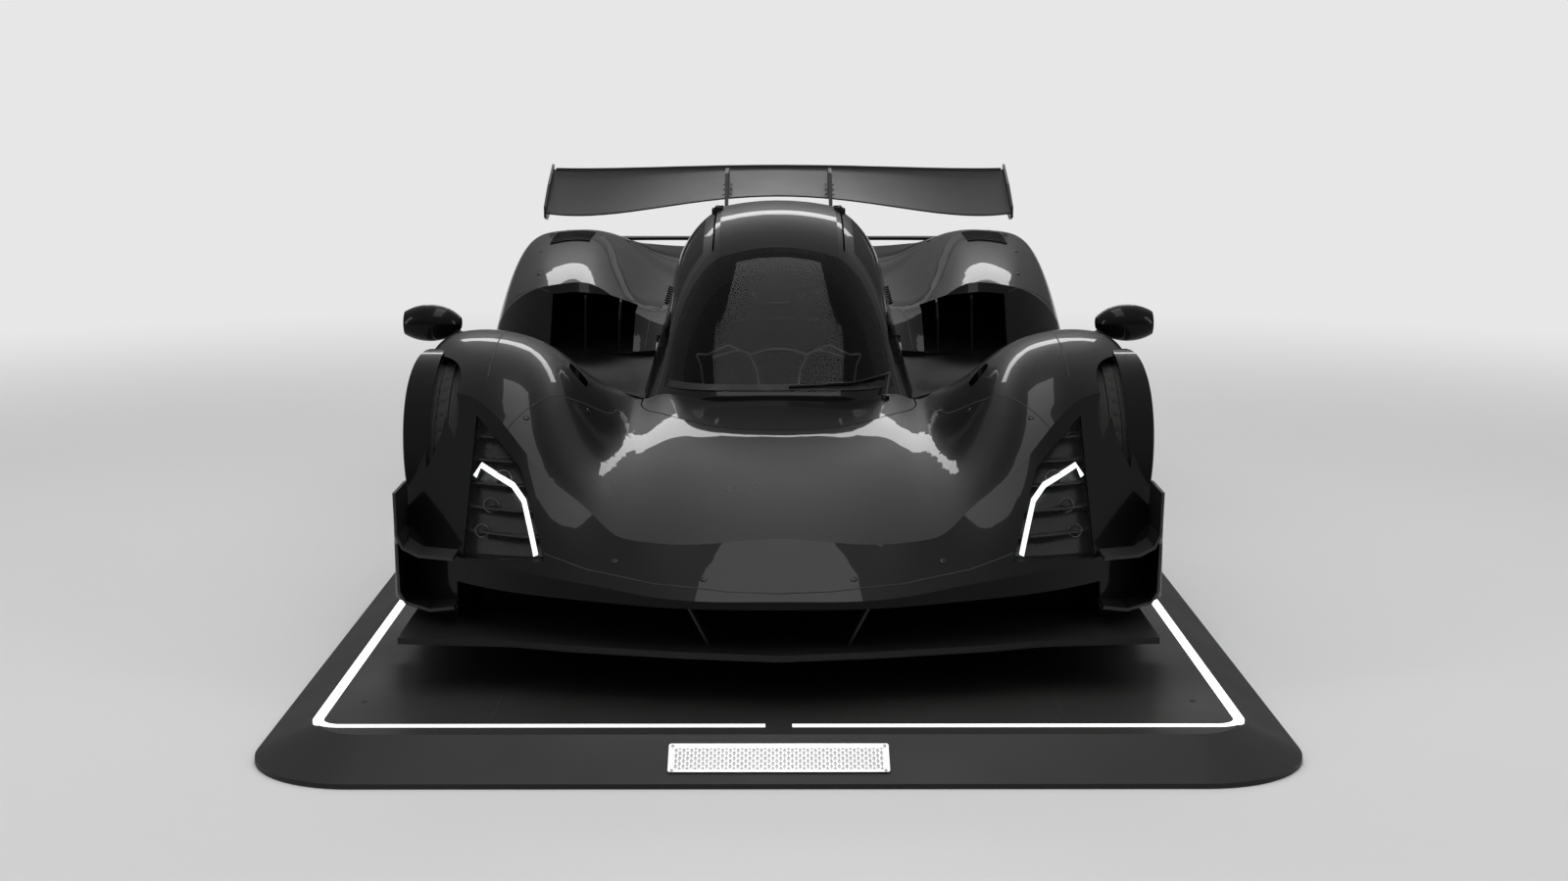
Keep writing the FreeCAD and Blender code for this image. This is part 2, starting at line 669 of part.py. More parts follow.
def tyrePiece(name, rear, side):
    """Tyre turned about its axle from a section with bead, wall, shoulder and flat tread."""
    radius = cell.rearTyreRadius if rear else cell.frontTyreRadius
    half = (cell.rearTyreWide if rear else cell.frontTyreWide) / 2
    rim = cell.rearRimRadius if rear else cell.frontRimRadius
    body = newBody("tyre_" + name)
    wall = [(cell.beadInset, rim), (0, rim + (radius - rim) * 0.5), (6, radius - cell.tyreShoulder),
            (cell.tyreShoulder, radius)]
    corners = [(across - half, out) for across, out in wall] + [(half - across, out) for across, out in reversed(wall)]
    revolution(body, trace(sketchOn(body, "XZ_Plane"), corners), "X_Axis")
    placeWheel(body, rear, side)
    finished(body, "tyre_" + name)


def placeWheel(body, rear, side):
    """Stands a wheel's body at its own hub."""
    radius = cell.rearTyreRadius if rear else cell.frontTyreRadius
    across = cell.rearWheelX if rear else cell.frontWheelX
    bind(body, Placement_Base_x=across * side, Placement_Base_z=cell.plinthHeight + radius + cell.tyreGap,
         Placement_Base_y=cell.frontAxleY + cell.wheelbase if rear else cell.frontAxleY)


def wheelLevels(rear):
    """Distances out from the wheel's middle plane to its face, hub back and disc back."""
    half = (cell.rearTyreWide if rear else cell.frontTyreWide) / 2
    face = half - 40
    inner = face - cell.hubLong - 16
    return half, face, inner, inner - cell.bellWall - cell.discThick


def wheelPiece(name, rear, side):
    """Forged rim with tapered spokes, hub, brake bell and disc about one axle bore."""
    half, face, inner, discIn = wheelLevels(rear)
    rim = cell.rearRimRadius if rear else cell.frontRimRadius
    lip = rim - cell.rimLip
    deep = lip - cell.rimDeep
    edge = half - cell.beadInset
    body = newBody("wheel_" + name)

    def turned(profile):
        corners = [(across * side, out) for across, out in profile]
        revolution(body, trace(sketchOn(body, "XZ_Plane"), corners), "X_Axis")
    turned([(-edge, rim), (edge, rim), (edge, lip - 6), (edge - 24, lip - 12), (edge - 38, deep), (18 - edge, deep),
            (-edge, lip)])
    bellIn = discIn - 6
    turned([(face - 16, cell.hubBore), (face - 16, cell.hubRadius), (inner, cell.hubRadius), (inner, cell.bellRadius),
            (inner - cell.bellWall, cell.bellRadius), (inner - cell.bellWall, cell.discRadius),
            (discIn, cell.discRadius), (discIn, cell.bellRadius), (bellIn, cell.bellRadius),
            (bellIn, cell.bellRadius - cell.bellWall), (inner - 8, cell.bellRadius - cell.bellWall),
            (inner - 8, cell.hubBore)])

    def spokeEnd(level, low, high, wide):
        return trace(sketchOn(body, "XY_Plane", level), [
            (low * side, -wide / 2), (high * side, -wide / 2), (high * side, wide / 2), (low * side, wide / 2)])
    spoke = body.newObject("PartDesign::AdditiveLoft", "Spoke")
    spoke.Profile = spokeEnd(cell.hubRadius / 2, face - 22 - cell.spokeThick, face - 22, cell.spokeRoot)
    spoke.Sections = [spokeEnd(lip - 4, face - 36, face - 8, cell.spokeTip)]
    spoke.Ruled = True
    spokes = body.newObject("PartDesign::PolarPattern", "Spokes")
    spokes.Originals = [spoke]
    spokes.Axis = (originOf(body, "X_Axis"), [""])
    spokes.Angle = 360
    bind(spokes, Occurrences=cell.wheelSpokes)
    body.Tip = spokes
    placeWheel(body, rear, side)
    finished(body, "wheel_" + name)


def knuckle(rear, side):
    """Upright with its stub axle and caliper; the front one turns about an upright pin."""
    levels = [float(level) for level in wheelLevels(rear)]
    inner = levels[2]
    discIn = levels[3]
    radius = size.rearTyreRadius if rear else size.frontTyreRadius
    across = size.rearWheelX if rear else size.frontWheelX
    centre = point(across * side, size.wheelbase if rear else 0, radius + size.tyreGap)
    axis = Vector(side, 0, 0)

    def at(x, y, z):
        return centre + Vector(x * side, y, z)
    pinX = size.steerAxisX - abs(centre.x)
    stub = Part.makeCylinder(size.hubBore - size.fit, inner + 40 - pinX, at(pinX, 0, 0), axis)
    flange = Part.makeCylinder(58, 24, at(discIn - 30, 0, 0), axis)
    tall = 2 * (size.armLift - 20)
    post = Part.makeBox(56, 76, tall, at(pinX, 0, 0) + Vector(-28, -38, -tall / 2))
    arm = Part.makeBox(40, 150, 30, at(pinX, 0, 0) + Vector(-20, 0, -95)) if not rear else post
    link = Part.makeCylinder(34, abs(discIn - 30 - pinX) + 10, at(pinX, 0, 0), axis)
    pins = [Part.makeCylinder(10, tall + 80, at(pinX, 0, 0) + Vector(0, 0, -tall / 2 - 40), Vector(0, 0, 1))]
    # caliper clasps the disc on its rear side
    clear = 5
    low = discIn - 26
    high = discIn + size.discThick + 18
    wedge = Part.makeCylinder(size.discRadius + 20, high - low, at(low, 0, 0), axis)
    wedge = wedge.cut(Part.makeCylinder(118, high - low + 2, at(low - 1, 0, 0), axis))
    room = Part.makeCylinder(size.discRadius + clear, size.discThick + 2 * clear, at(discIn - clear, 0, 0), axis)
    keepIn = Part.makeBox(400, 300, 230, at(discIn, 0, 0) + Vector(-200, 60, -115))
    caliper = wedge.cut(room).common(keepIn)
    bracket = Part.makeBox(24, 110, 70, at(discIn - 33, 0, 0) + Vector(-12, 30, -35))
    parts = [flange, post, arm, link, caliper, bracket] + ([] if rear else pins)
    return stub.fuse(parts).removeSplitter()


def suspensionArms(rear, side):
    """Two wishbones per side, round a pin at the front, bolted to the upright at the rear."""
    radius = size.rearTyreRadius if rear else size.frontTyreRadius
    pinX = size.steerAxisX * side
    centre = point(pinX, size.wheelbase if rear else 0, radius + size.tyreGap)
    innerX = (210 if rear else size.footwellHalf) * side
    arms = []
    for lift in (size.armLift, -size.armLift):
        end = centre + Vector(0, 0, lift)
        legs = []
        for spread in (-150, 150):
            root = Vector(innerX, centre.y + spread, centre.z + lift * 0.5)
            legs.append(rod(root, end, size.armRadius))
        boss = Part.makeCylinder(24, 28, end + Vector(0, 0, -14), Vector(0, 0, 1))
        arm = boss.fuse(legs)
        if rear:
            tall = 2 * (size.armLift - 20)
            arm = arm.cut(Part.makeBox(56, 76, tall, Vector(pinX - 28, centre.y - 38, centre.z - tall / 2)))
        else:
            hole = Part.makeCylinder(10 + size.fit, 60, end + Vector(0, 0, -30), Vector(0, 0, 1))
            arm = arm.cut(hole)
        arms.append(arm)
    return arms


canopyOuter = canopySolid(0)
plinthPieces()
frontHull, cowl, lampHousing, lampGlow, lampCover = frontBody()
tub = tubPiece()
keep("tub", tub)
keep("front_clam", frontHull)
keep("cowl", cowl)
keep("headlamps", bothSides(lampHousing))
keep("running_lights", bothSides(lampGlow))
keep("headlamp_covers", bothSides(lampCover))

# windscreen and roof frame
gap = size.shutGap
rearEdge = size.cabinRear
screenZone = pillarPlane(-size.pillarWide / 2).common(block(-600, 600, 300, 1200, 545, 1300))
keep("windscreen", canopyWallPiece(screenZone, size.glassThick))
doorZone = block(size.railHalf, 1100, size.cabinFront + 20 - gap, rearEdge - size.hoopWide, 0, 1300)
doorZone = doorZone.cut(pillarPlane(size.pillarWide / 2))
rail = size.railHalf
sideZone = block(rail, 600, 300, rearEdge, 0, 1300).cut(screenZone).cut(doorZone)
sideFrame = canopyWallPiece(sideZone, size.skinWall)
roof = canopyWallPiece(block(-rail, rail, 300, rearEdge, 0, 1300).cut(screenZone), size.skinWall)
roof = roof.fuse([sideFrame, mirrored(sideFrame)]).cut(cowl).cut(frontHull)
for side in (-1, 1):
    hingeX = side * (rail + gap / 2)
    barrelRoom = size.hingeBarrel + 2
    roof = roof.cut(block(hingeX - barrelRoom, hingeX + barrelRoom, size.hingeBack, size.hingeBack + size.hingeLong,
                          size.hingeHigh - 30, size.hingeHigh + 30))
    lugs = [block(min(hingeX, hingeX - side * 22), max(hingeX, hingeX - side * 22), back, back + size.hingeLug,
                  size.hingeHigh - 10, size.hingeHigh + size.hingePin + 2)
            for back in (size.hingeBack - size.hingeLug, size.hingeBack + size.hingeLong)]
    pin = Part.makeCylinder(size.hingePin, size.hingeLong + 2 * size.hingeLug,
                            point(hingeX, size.hingeBack - size.hingeLug, size.hingeHigh), Vector(0, 1, 0))
    roof = roof.fuse(lugs + [pin])
keep("canopy_frame", roof)

doorPanel, doorGlass = doorParts()
keep("door_left", doorPanel)
keep("door_right", mirrored(doorPanel))
keep("door_glass_left", doorGlass)
keep("door_glass_right", mirrored(doorGlass))

# rear body: fenders and deck with the canopy's tail as its spine
floorTop = size.rideHeight + size.floorThick
rearHull = sideHull(rearProfiles, floorTop)
spine = canopyOuter.common(block(-600, 600, rearEdge, 3300, 0, 1300))
rearHull = rearHull.fuse(spine)
rearWell = wheelWell(True)
rearHull = rearHull.cut(rearWell).cut(mirrored(rearWell))
rearHull = rearHull.cut(block(-430, 430, rearEdge - 5, 3420, 0, 560))
scoop = prism([point(510, back, high) for back, high in (
    (rearEdge - 5, 508), (2060, 540), (2060, 600), (1745, 706), (1700, 800), (rearEdge - 5, 800))], Vector(290, 0, 0))
vanes = [prism([point(x, back, high) for back, high in (
    (1700, 500), (2070, 500), (2070, 640), (1760, 715), (1735, 690))], Vector(7, 0, 0)).common(rearHull)
         for x in (560, 680)]
rearHull = rearHull.cut(bothSides(scoop))
rearHull = rearHull.fuse([vane for pair in [(vane, mirrored(vane)) for vane in vanes] for vane in pair])
rearHull = rearHull.cut(block(-1100, 1100, 3420, 3700, 0, 640))
tunnel = prism([point(-640, 2880, 0), point(-640, 2880, floorTop + 12), point(-640, 3500, floorTop + 150),
                point(-640, 3500, 0)], Vector(1280, 0, 0))
rearHull = rearHull.cut(tunnel)
keep("rear_clam", rearHull)

# floor with jack pads
pan = newBody("undertray")
half = cell.floorHalf
flat = [(half, behind(440)), (half, behind(2290)), (-half, behind(2290)), (-half, behind(440))]
pad(pan, trace(sketchOn(pan, "XY_Plane", above(cell.rideHeight)), flat), cell.floorThick)
half = cell.keelHalf
flat = [(half, behind(-420)), (half, behind(2950)), (-half, behind(2950)), (-half, behind(-420))]
pad(pan, trace(sketchOn(pan, "XY_Plane", above(cell.rideHeight)), flat), cell.floorThick)
spots = sketchOn(pan, "XY_Plane", above(cell.rideHeight - cell.jackPadDrop))
for x in (cell.jackPadX, -cell.jackPadX):
    for back in (cell.jackPadFront, cell.jackPadRear):
        roundHole(spots, (x, behind(back)), cell.jackPadRadius)
pad(pan, spots, cell.jackPadDrop + 1)
finished(pan, "undertray")

# splitter with its two slanted struts
SplitterCorner = namedtuple("SplitterCorner", "x back")
splitterHalf = [SplitterCorner(922, -420), SplitterCorner(922, -830), SplitterCorner(637, -860),
                SplitterCorner(500, -905), SplitterCorner(232, -965), SplitterCorner(0, -1000)]
blade = newBody("front_splitter")
plan = [(-corner.x, behind(corner.back)) for corner in splitterHalf]
plan += [(corner.x, behind(corner.back)) for corner in reversed(splitterHalf[:-1])]
bladeLow = cell.rideHeight + cell.floorThick
pad(blade, trace(sketchOn(blade, "XY_Plane", above(bladeLow)), plan), cell.splitterThick)
strutFoot = above(bladeLow + cell.splitterThick - 1)
strutHead = above(bladeLow + cell.splitterThick + 94.5)
strut = pad(blade, trace(sketchOn(blade, "XZ_Plane", -behind(-830)), [
    (165, strutFoot), (172, strutFoot), (222, strutHead), (215, strutHead)]), cell.archRoom * 4)
twin(blade, [strut])
finished(blade, "front_splitter")

# sill skirts
skirtTop = cell.sillTop - cell.doorDrop - 8
skirts = newBody("side_skirts")
inner = cell.cabinHalf + 1
skirt = pad(skirts, trace(sketchOn(skirts, "XZ_Plane", -behind(cell.cabinFront + 20)), [
    (inner, above(bladeLow)), (985, above(bladeLow)), (988, above(bladeLow + 12)), (940, above(bladeLow + 34)),
    (912, above(skirtTop)), (inner, above(skirtTop))]), cell.cabinRear - cell.shutGap - cell.cabinFront - 20, back=True)
twin(skirts, [skirt])
finished(skirts, "side_skirts")

# dive planes: an upper and a lower bent blade on each front corner
BladeRow = namedtuple("BladeRow", "line rear")
bladeRows = [
    BladeRow([(800, 290), (900, 280), (945, 292), (962, 322), (965, 429)], -412),
    BladeRow([(800, 168), (868, 148), (938, 152), (958, 176), (962, 300)], -420),
]
tipInner = (780, -740)
tipOuter = (990, -565)
rake = prism([point(x, back, 0) for x, back in (
    tipInner, tipOuter, (tipOuter[0], tipInner[1] - 200), (tipInner[0], tipInner[1] - 200))], Vector(0, 0, 700))
planes = []
for row in bladeRows:
    sheetBlade = ribbon(row.line, size.canardThick, tipInner[1] - 10, row.rear)
    planes.append(max(sheetBlade.cut(rake).cut(frontHull).Solids, key=lambda solid: solid.Volume))
keep("dive_planes", Part.makeCompound(planes + [mirrored(plane) for plane in planes]))

# mirrors on the fenders' rear
MirrorRow = namedtuple("MirrorRow", "x halfDeep halfTall")
mirrorRows = [MirrorRow(935, 22, 16), MirrorRow(975, 50, 44), MirrorRow(1050, 55, 52), MirrorRow(1100, 38, 34)]
mirrorBack = 440
mirrorHigh = 745
wires = []
for row in mirrorRows:
    wires.append(chain(point(row.x, mirrorBack - row.halfDeep, mirrorHigh), [
        (point(row.x, mirrorBack, mirrorHigh + row.halfTall), point(row.x, mirrorBack + row.halfDeep, mirrorHigh)),
        (point(row.x, mirrorBack, mirrorHigh - row.halfTall), point(row.x, mirrorBack - row.halfDeep, mirrorHigh))]))
head = loft(wires)
stalkFront = mirrorBack - 22
stalk = prism([point(x, stalkFront, high) for x, high in ((860, 600), (880, 660), (960, 742), (975, 730), (900, 600))],
              Vector(0, 44, 0)).cut(frontHull)
keep("mirrors", bothSides(head.fuse(stalk)))

# wing, its pylons and the tail blade
chord = size.wingChord
WingRow = namedtuple("WingRow", "x leadHigh trailHigh")
wingRows = [WingRow(-975, 905, 1070), WingRow(-600, 915, 1072), WingRow(-230, 965, 1080), WingRow(230, 965, 1080),
            WingRow(600, 915, 1072), WingRow(975, 905, 1070)]
wires = []
for row in wingRows:
    share = size.wingSpan / 2 / wingRows[-1].x
    lead = point(row.x * share, size.wingLead, row.leadHigh)
    trail = point(row.x * share, size.wingLead + chord, row.trailHigh)
    trailLow = trail + Vector(0, 0, -8)
    topMiddle = (lead + trail) * 0.5 + Vector(0, 0, -4)
    lowMiddle = (lead + trailLow) * 0.5 + Vector(0, 0, -36)
    wires.append(chain(lead, [(topMiddle, trail), (trailLow,), (lowMiddle, lead + Vector(0, 0, -6))]))
wing = loft(wires)
endLine = [(-12, 884), (60, 872), (200, 905), (chord + 12, 1010), (chord + 14, 1092), (160, 1016), (-12, 930)]
for side in (-1, 1):
    start = side * size.wingSpan / 2 - size.wingPlateThick / 2
    wing = wing.fuse(prism([point(start, size.wingLead + back, high) for back, high in endLine],
                           Vector(size.wingPlateThick, 0, 0)))
keep("wing", wing)
pylonLine = [(2880, 640), (3060, 640), (3110, 860), (3150, 970), (3195, 1000), (3240, 985), (3400, 1015), (3400, 1052),
             (3300, 1085), (3170, 1070), (3070, 980), (2990, 860)]
pylons = []
for side in (-1, 1):
    x = side * size.pylonApart / 2 - size.pylonThick / 2
    pylon = prism([point(x, back, high) for back, high in pylonLine], Vector(size.pylonThick, 0, 0))
    pylons.append(max(pylon.cut(wing).cut(rearHull).Solids, key=lambda solid: solid.Volume))
keep("wing_pylons", Part.makeCompound(pylons))
keep("tail_bar", prism([point(x, back, 768) for x, back in (
    (-960, 3425), (-900, 3460), (-500, 3485), (500, 3485), (900, 3460), (960, 3425), (960, 3520), (880, 3575),
    (-880, 3575), (-960, 3520))], Vector(0, 0, 12)).cut(rearHull))

# tail: grille panel, lamp line, diffuser and pipes
fascia = newBody("rear_fascia")
tailFace = -behind(3420.3)
low = above(330)
high = above(639.7)
pad(fascia, trace(sketchOn(fascia, "XZ_Plane", tailFace), [(930, low), (930, high), (-930, high), (-930, low)]),
    cell.fasciaThick, back=True)
slots = sketchOn(fascia, "XZ_Plane", tailFace)
for start, end in ((180, 870), (-870, -180)):
    trace(slots, [(end, above(362)), (end, above(362 + cell.slatOpen)), (start, above(362 + cell.slatOpen)),
                  (start, above(362))])
slot = pocket(fascia, slots, 3 * cell.fasciaThick, middle=True)
rows = fascia.newObject("PartDesign::LinearPattern", "Rows")
rows.Originals = [slot]
rows.Direction = (originOf(fascia, "Z_Axis"), [""])
rows.Occurrences = 6
bind(rows, Length=cell.slatPitch * 5)
fascia.Tip = rows
holes = sketchOn(fascia, "XZ_Plane", tailFace)
for x in (cell.tipApart / 2, -cell.tipApart / 2):
    roundHole(holes, (x, above(480)), cell.tipRadius + 0.3)
pocket(fascia, holes, 3 * cell.fasciaThick, middle=True)
finished(fascia, "rear_fascia")

lampBar = newBody("tail_lamp")
pad(lampBar, trace(sketchOn(lampBar, "XZ_Plane", tailFace - cell.fasciaThick), [
    (905, above(612)), (-905, above(612)), (-905, above(500)), (-885, above(500)), (-885, above(592)),
    (885, above(592)), (885, above(500)), (905, above(500))]), 18, back=True)
finished(lampBar, "tail_lamp")

diffuser = newBody("diffuser")
pad(diffuser, trace(sketchOn(diffuser, "YZ_Plane"), [
    (behind(2950.3), above(cell.rideHeight)), (behind(3600), above(cell.rideHeight + 160)),
    (behind(3600), above(cell.rideHeight + 178)), (behind(2950.3), above(cell.rideHeight + 18))]), 1240, middle=True)
fin = pad(diffuser, trace(sketchOn(diffuser, "YZ_Plane", Measure(-605.0, "-605")), [
    (behind(2990), above(cell.rideHeight - 6)), (behind(3590), above(cell.rideHeight + 6)),
    (behind(3596), above(cell.rideHeight + 165)), (behind(2990), above(cell.rideHeight + 16))]), cell.finThick)
fins = diffuser.newObject("PartDesign::LinearPattern", "Fins")
fins.Originals = [fin]
fins.Direction = (originOf(diffuser, "X_Axis"), [""])
bind(fins, Occurrences=cell.diffuserFins, Length=1200)
diffuser.Tip = fins
finished(diffuser, "diffuser")

pipes = newBody("exhaust_tips")
rings = sketchOn(pipes, "XZ_Plane", tailFace)
for x in (cell.tipApart / 2, -cell.tipApart / 2):
    roundHole(rings, (x, above(480)), cell.tipRadius)
pad(pipes, rings, 130, back=True)
bores = sketchOn(pipes, "XZ_Plane", tailFace - 130)
for x in (cell.tipApart / 2, -cell.tipApart / 2):
    roundHole(bores, (x, above(480)), cell.tipRadius - cell.tipWall)
pocket(pipes, bores, 110, back=True)
finished(pipes, "exhaust_tips")

# drive unit as one plain block
engine = newBody("engine_block")
flat = [(270, behind(1660)), (270, behind(2330)), (-270, behind(2330)), (-270, behind(1660))]
pad(engine, trace(sketchOn(engine, "XY_Plane", above(bladeLow)), flat), 426)
flat = [(210, behind(2300)), (210, behind(3000)), (-210, behind(3000)), (-210, behind(2300))]
pad(engine, trace(sketchOn(engine, "XY_Plane", above(bladeLow + 31)), flat), 345)
finished(engine, "engine_block")

# two seats in line, dash with its column boss, steering wheel
seats = newBody("seats")
seatLow = above(bladeLow + cell.tubWall + cell.seatGap)
front = cell.seatFront
long = cell.cushionLong
seat = pad(seats, trace(sketchOn(seats, "YZ_Plane"), [
    (behind(front), seatLow), (behind(front + long - 20), seatLow), (behind(front + long + 20), above(800)),
    (behind(front + long - 40), above(806)), (behind(front + long - 110), above(bladeLow + 160)),
    (behind(front), above(bladeLow + 170))]), cell.cushionWide, middle=True)
line = seats.newObject("PartDesign::LinearPattern", "Tandem")
line.Originals = [seat]
line.Direction = (originOf(seats, "Y_Axis"), [""])
line.Occurrences = 2
bind(line, Length=cell.seatPitch)
seats.Tip = line
finished(seats, "seats")

lean = math.radians(size.steerLean)
turn = FreeCAD.Rotation(Vector(1, 0, 0), size.steerLean - 90)
ringSpot = point(0, size.cabinFront + 210, 475)
board = newBody("dash_board")
dashFront = cell.cabinFront + 14.3
dashRear = cell.cabinFront + cell.dashDeep
pad(board, trace(sketchOn(board, "YZ_Plane"), [
    (behind(dashFront), above(395)), (behind(dashRear), above(395)), (behind(dashRear), above(468)),
    (behind(dashRear - 20), above(500)), (behind(dashFront), above(500))]), cell.dashWide, middle=True)
pad(board, trace(sketchOn(board, "YZ_Plane"), [
    (behind(dashFront + 20), above(499)), (behind(dashRear - 22), above(499)), (behind(dashRear - 30), above(540)),
    (behind(dashFront + 34), above(532))]), 210, middle=True)
boss = doc.addObject("Part::Cylinder", "columnBoss")
bossLong = 32
bind(boss, Radius=cell.columnRadius + 10, Height=bossLong)
boss.Placement = FreeCAD.Placement(
    ringSpot - Vector(0, math.cos(lean), math.sin(lean)) * (size.columnReach + 0.5 + bossLong), turn)
dash = doc.addObject("Part::Fuse", "dash")
dash.Base = board
dash.Tool = boss
finished(dash, "dash")

grip = bind(doc.addObject("Part::Torus", "grip"), Radius1=cell.steerRing, Radius2=cell.steerGrip)
bar = doc.addObject("Part::Box", "bar")
bind(bar, Length=2 * cell.steerRing - 10, Width=30, Height=20, Placement_Base_x=5 - cell.steerRing,
     Placement_Base_y=-15, Placement_Base_z=-12)
stem = bind(doc.addObject("Part::Cylinder", "stem"), Radius=cell.columnRadius, Height=cell.columnReach,
            Placement_Base_z=-cell.columnReach)
steering = doc.addObject("Part::MultiFuse", "steering_wheel")
steering.Shapes = [grip, bar, stem]
steering.Placement = FreeCAD.Placement(ringSpot, turn)
finished(steering, "steering_wheel")

doc.recompute()
engineShape = engine.Shape
arms = {"front": [], "rear": []}
uprights = []
for end, sideName, side in (("front", "left", 1), ("front", "right", -1), ("rear", "left", 1), ("rear", "right", -1)):
    rear = end == "rear"
    tyrePiece(end + "_" + sideName, rear, side)
    wheelPiece(end + "_" + sideName, rear, side)
    if rear:
        uprights.append(knuckle(rear, side))
    else:
        keep("knuckle_front_" + sideName, knuckle(rear, side))
    arms[end] += suspensionArms(rear, side)
keep("front_suspension", Part.makeCompound([arm.cut(tub) for arm in arms["front"]]))
keep("rear_suspension", Part.makeCompound([arm.cut(engineShape) for arm in arms["rear"]]))
keep("rear_knuckles", Part.makeCompound(uprights))

doc.recompute()
faults = []
for item in doc.Objects:
    if "Invalid" in item.State or "Error" in item.State:
        faults.append(item.Label + " failed")
for piece in pieces:
    shape = piece.Shape
    if shape.isNull() or not shape.isValid() or not shape.Solids:
        faults.append(piece.Label + " has no valid shape")
if faults:
    raise RuntimeError(", ".join(faults))
os.makedirs("parts", exist_ok=True)
for piece in pieces:
    piece.Shape.exportStep("parts/%s.step" % piece.Label)
    print(piece.Label, len(piece.Shape.Solids), round(piece.Shape.Volume / 1e6, 2))
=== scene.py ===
import bpy
import json
import math
import numpy as np
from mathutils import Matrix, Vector
from mathutils.bvhtree import BVHTree


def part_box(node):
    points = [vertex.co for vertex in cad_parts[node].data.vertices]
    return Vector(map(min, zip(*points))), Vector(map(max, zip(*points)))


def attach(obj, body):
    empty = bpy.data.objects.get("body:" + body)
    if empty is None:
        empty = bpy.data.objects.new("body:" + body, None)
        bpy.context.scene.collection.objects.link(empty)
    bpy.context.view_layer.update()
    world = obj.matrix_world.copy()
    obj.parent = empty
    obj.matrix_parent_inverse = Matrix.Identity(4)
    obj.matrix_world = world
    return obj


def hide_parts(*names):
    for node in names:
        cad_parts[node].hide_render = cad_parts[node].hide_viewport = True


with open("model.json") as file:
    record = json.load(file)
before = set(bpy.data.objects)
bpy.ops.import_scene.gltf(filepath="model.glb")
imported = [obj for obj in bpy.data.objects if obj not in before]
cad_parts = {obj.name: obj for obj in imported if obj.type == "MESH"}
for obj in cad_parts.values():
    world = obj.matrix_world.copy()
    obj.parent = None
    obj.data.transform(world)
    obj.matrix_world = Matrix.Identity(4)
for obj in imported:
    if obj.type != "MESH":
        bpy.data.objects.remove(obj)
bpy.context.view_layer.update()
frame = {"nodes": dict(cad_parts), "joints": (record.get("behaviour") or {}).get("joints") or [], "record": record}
joints = {joint["name"]: joint for joint in frame["joints"]}
frontAxle = joints["spin_front_left"]["pos_m"][1]
rearAxle = joints["spin_rear_left"]["pos_m"][1]
wheelbase = rearAxle - frontAxle
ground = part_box("plinth")[1].z
car = "car_and_plinth"
down = (0, 0, -1)
rearward = (0, 1, 0)
sides = (("left", 1), ("right", -1))
corners = [("_%s_%s" % (end, name), side) for end in ("front", "rear") for name, side in sides]


class Value:
    # a shader socket that takes part in arithmetic
    def __init__(self, owner, socket):
        self.owner = owner
        self.socket = socket

    def __radd__(self, other):
        return self.owner.node("ShaderNodeMath", {"operation": "ADD"}, {0: other, 1: self})

    def __mul__(self, other):
        return self.owner.node("ShaderNodeMath", {"operation": "MULTIPLY"}, {0: self, 1: other})


class Tree:
    # a node tree that is filled node by node
    def __init__(self, tree):
        self.tree = tree

    def node(self, kind, settings=None, inputs=None, output=0):
        made = self.tree.nodes.new(kind)
        for key, value in (settings or {}).items():
            setattr(made, key, value)
        for key, value in (inputs or {}).items():
            if isinstance(value, Value):
                self.tree.links.new(value.socket, made.inputs[key])
            else:
                made.inputs[key].default_value = value
        return Value(self, made.outputs[output])


class Finish(Tree):
    # one material: constants go on the shader's own sockets, patterns are linked to them
    def __init__(self, name, constants):
        self.material = bpy.data.materials.new(name)
        self.material.use_nodes = True
        super().__init__(self.material.node_tree)
        self.shader = self.tree.nodes["Principled BSDF"]
        for socket, value in constants.items():
            self.shader.inputs[socket].default_value = value

    def place(self):
        return self.node("ShaderNodeTexCoord", output="Object")

    def axis(self, letter):
        return self.node("ShaderNodeSeparateXYZ", inputs={"Vector": self.place()}, output=letter)

    def link(self, socket, value):
        self.tree.links.new(value.socket, self.shader.inputs[socket])

    def noise(self, scale, detail=3.0, stretch=(1, 1, 1)):
        at = self.node("ShaderNodeMapping", inputs={"Vector": self.place(), "Scale": stretch})
        return self.node("ShaderNodeTexNoise", inputs={"Vector": at, "Scale": scale, "Detail": detail})

    def bands(self, scale, way="DIAGONAL", distortion=0.0):
        return self.node("ShaderNodeTexWave", {"bands_direction": way}, {
            "Vector": self.place(), "Scale": scale, "Distortion": distortion, "Detail": 1.0})

    def mix(self, share, dark, light):
        return self.node("ShaderNodeMix", {"data_type": "RGBA"}, {0: share, 6: dark, 7: light}, output=2)

    def tint(self, share, dark, light):
        self.link("Base Color", self.mix(share, dark, light))

    def roughen(self, share, low, high):
        self.link("Roughness", low + share * (high - low))

    def bump(self, height, distance, strength=1.0):
        self.link("Normal", self.node("ShaderNodeBump", inputs={
            "Height": height, "Distance": distance, "Strength": strength}))


def grey(level, warm=0.0):
    return (level * (1 + warm), level, level * (1 - warm), 1)


def shaded(colour, share):
    return tuple(channel * share for channel in colour[:3]) + (1,)


def paintFinish():
    # deep gloss black lacquer with a faint ripple and a little dust
    finish = Finish("gloss_black_lacquer", {
        "Base Color": grey(0.003), "Roughness": 0.3, "IOR": 1.45, "Specular IOR Level": 0.04,
        "Coat Weight": 0.42, "Coat Roughness": 0.012, "Coat IOR": 1.28})
    dust = finish.noise(3.1, 7)
    finish.roughen(dust, 0.22, 0.4)
    finish.tint(finish.noise(0.9, 5), grey(0.0028), grey(0.0048, 0.03))
    finish.bump(finish.noise(310, 2), 0.00002, 0.35)
    return finish


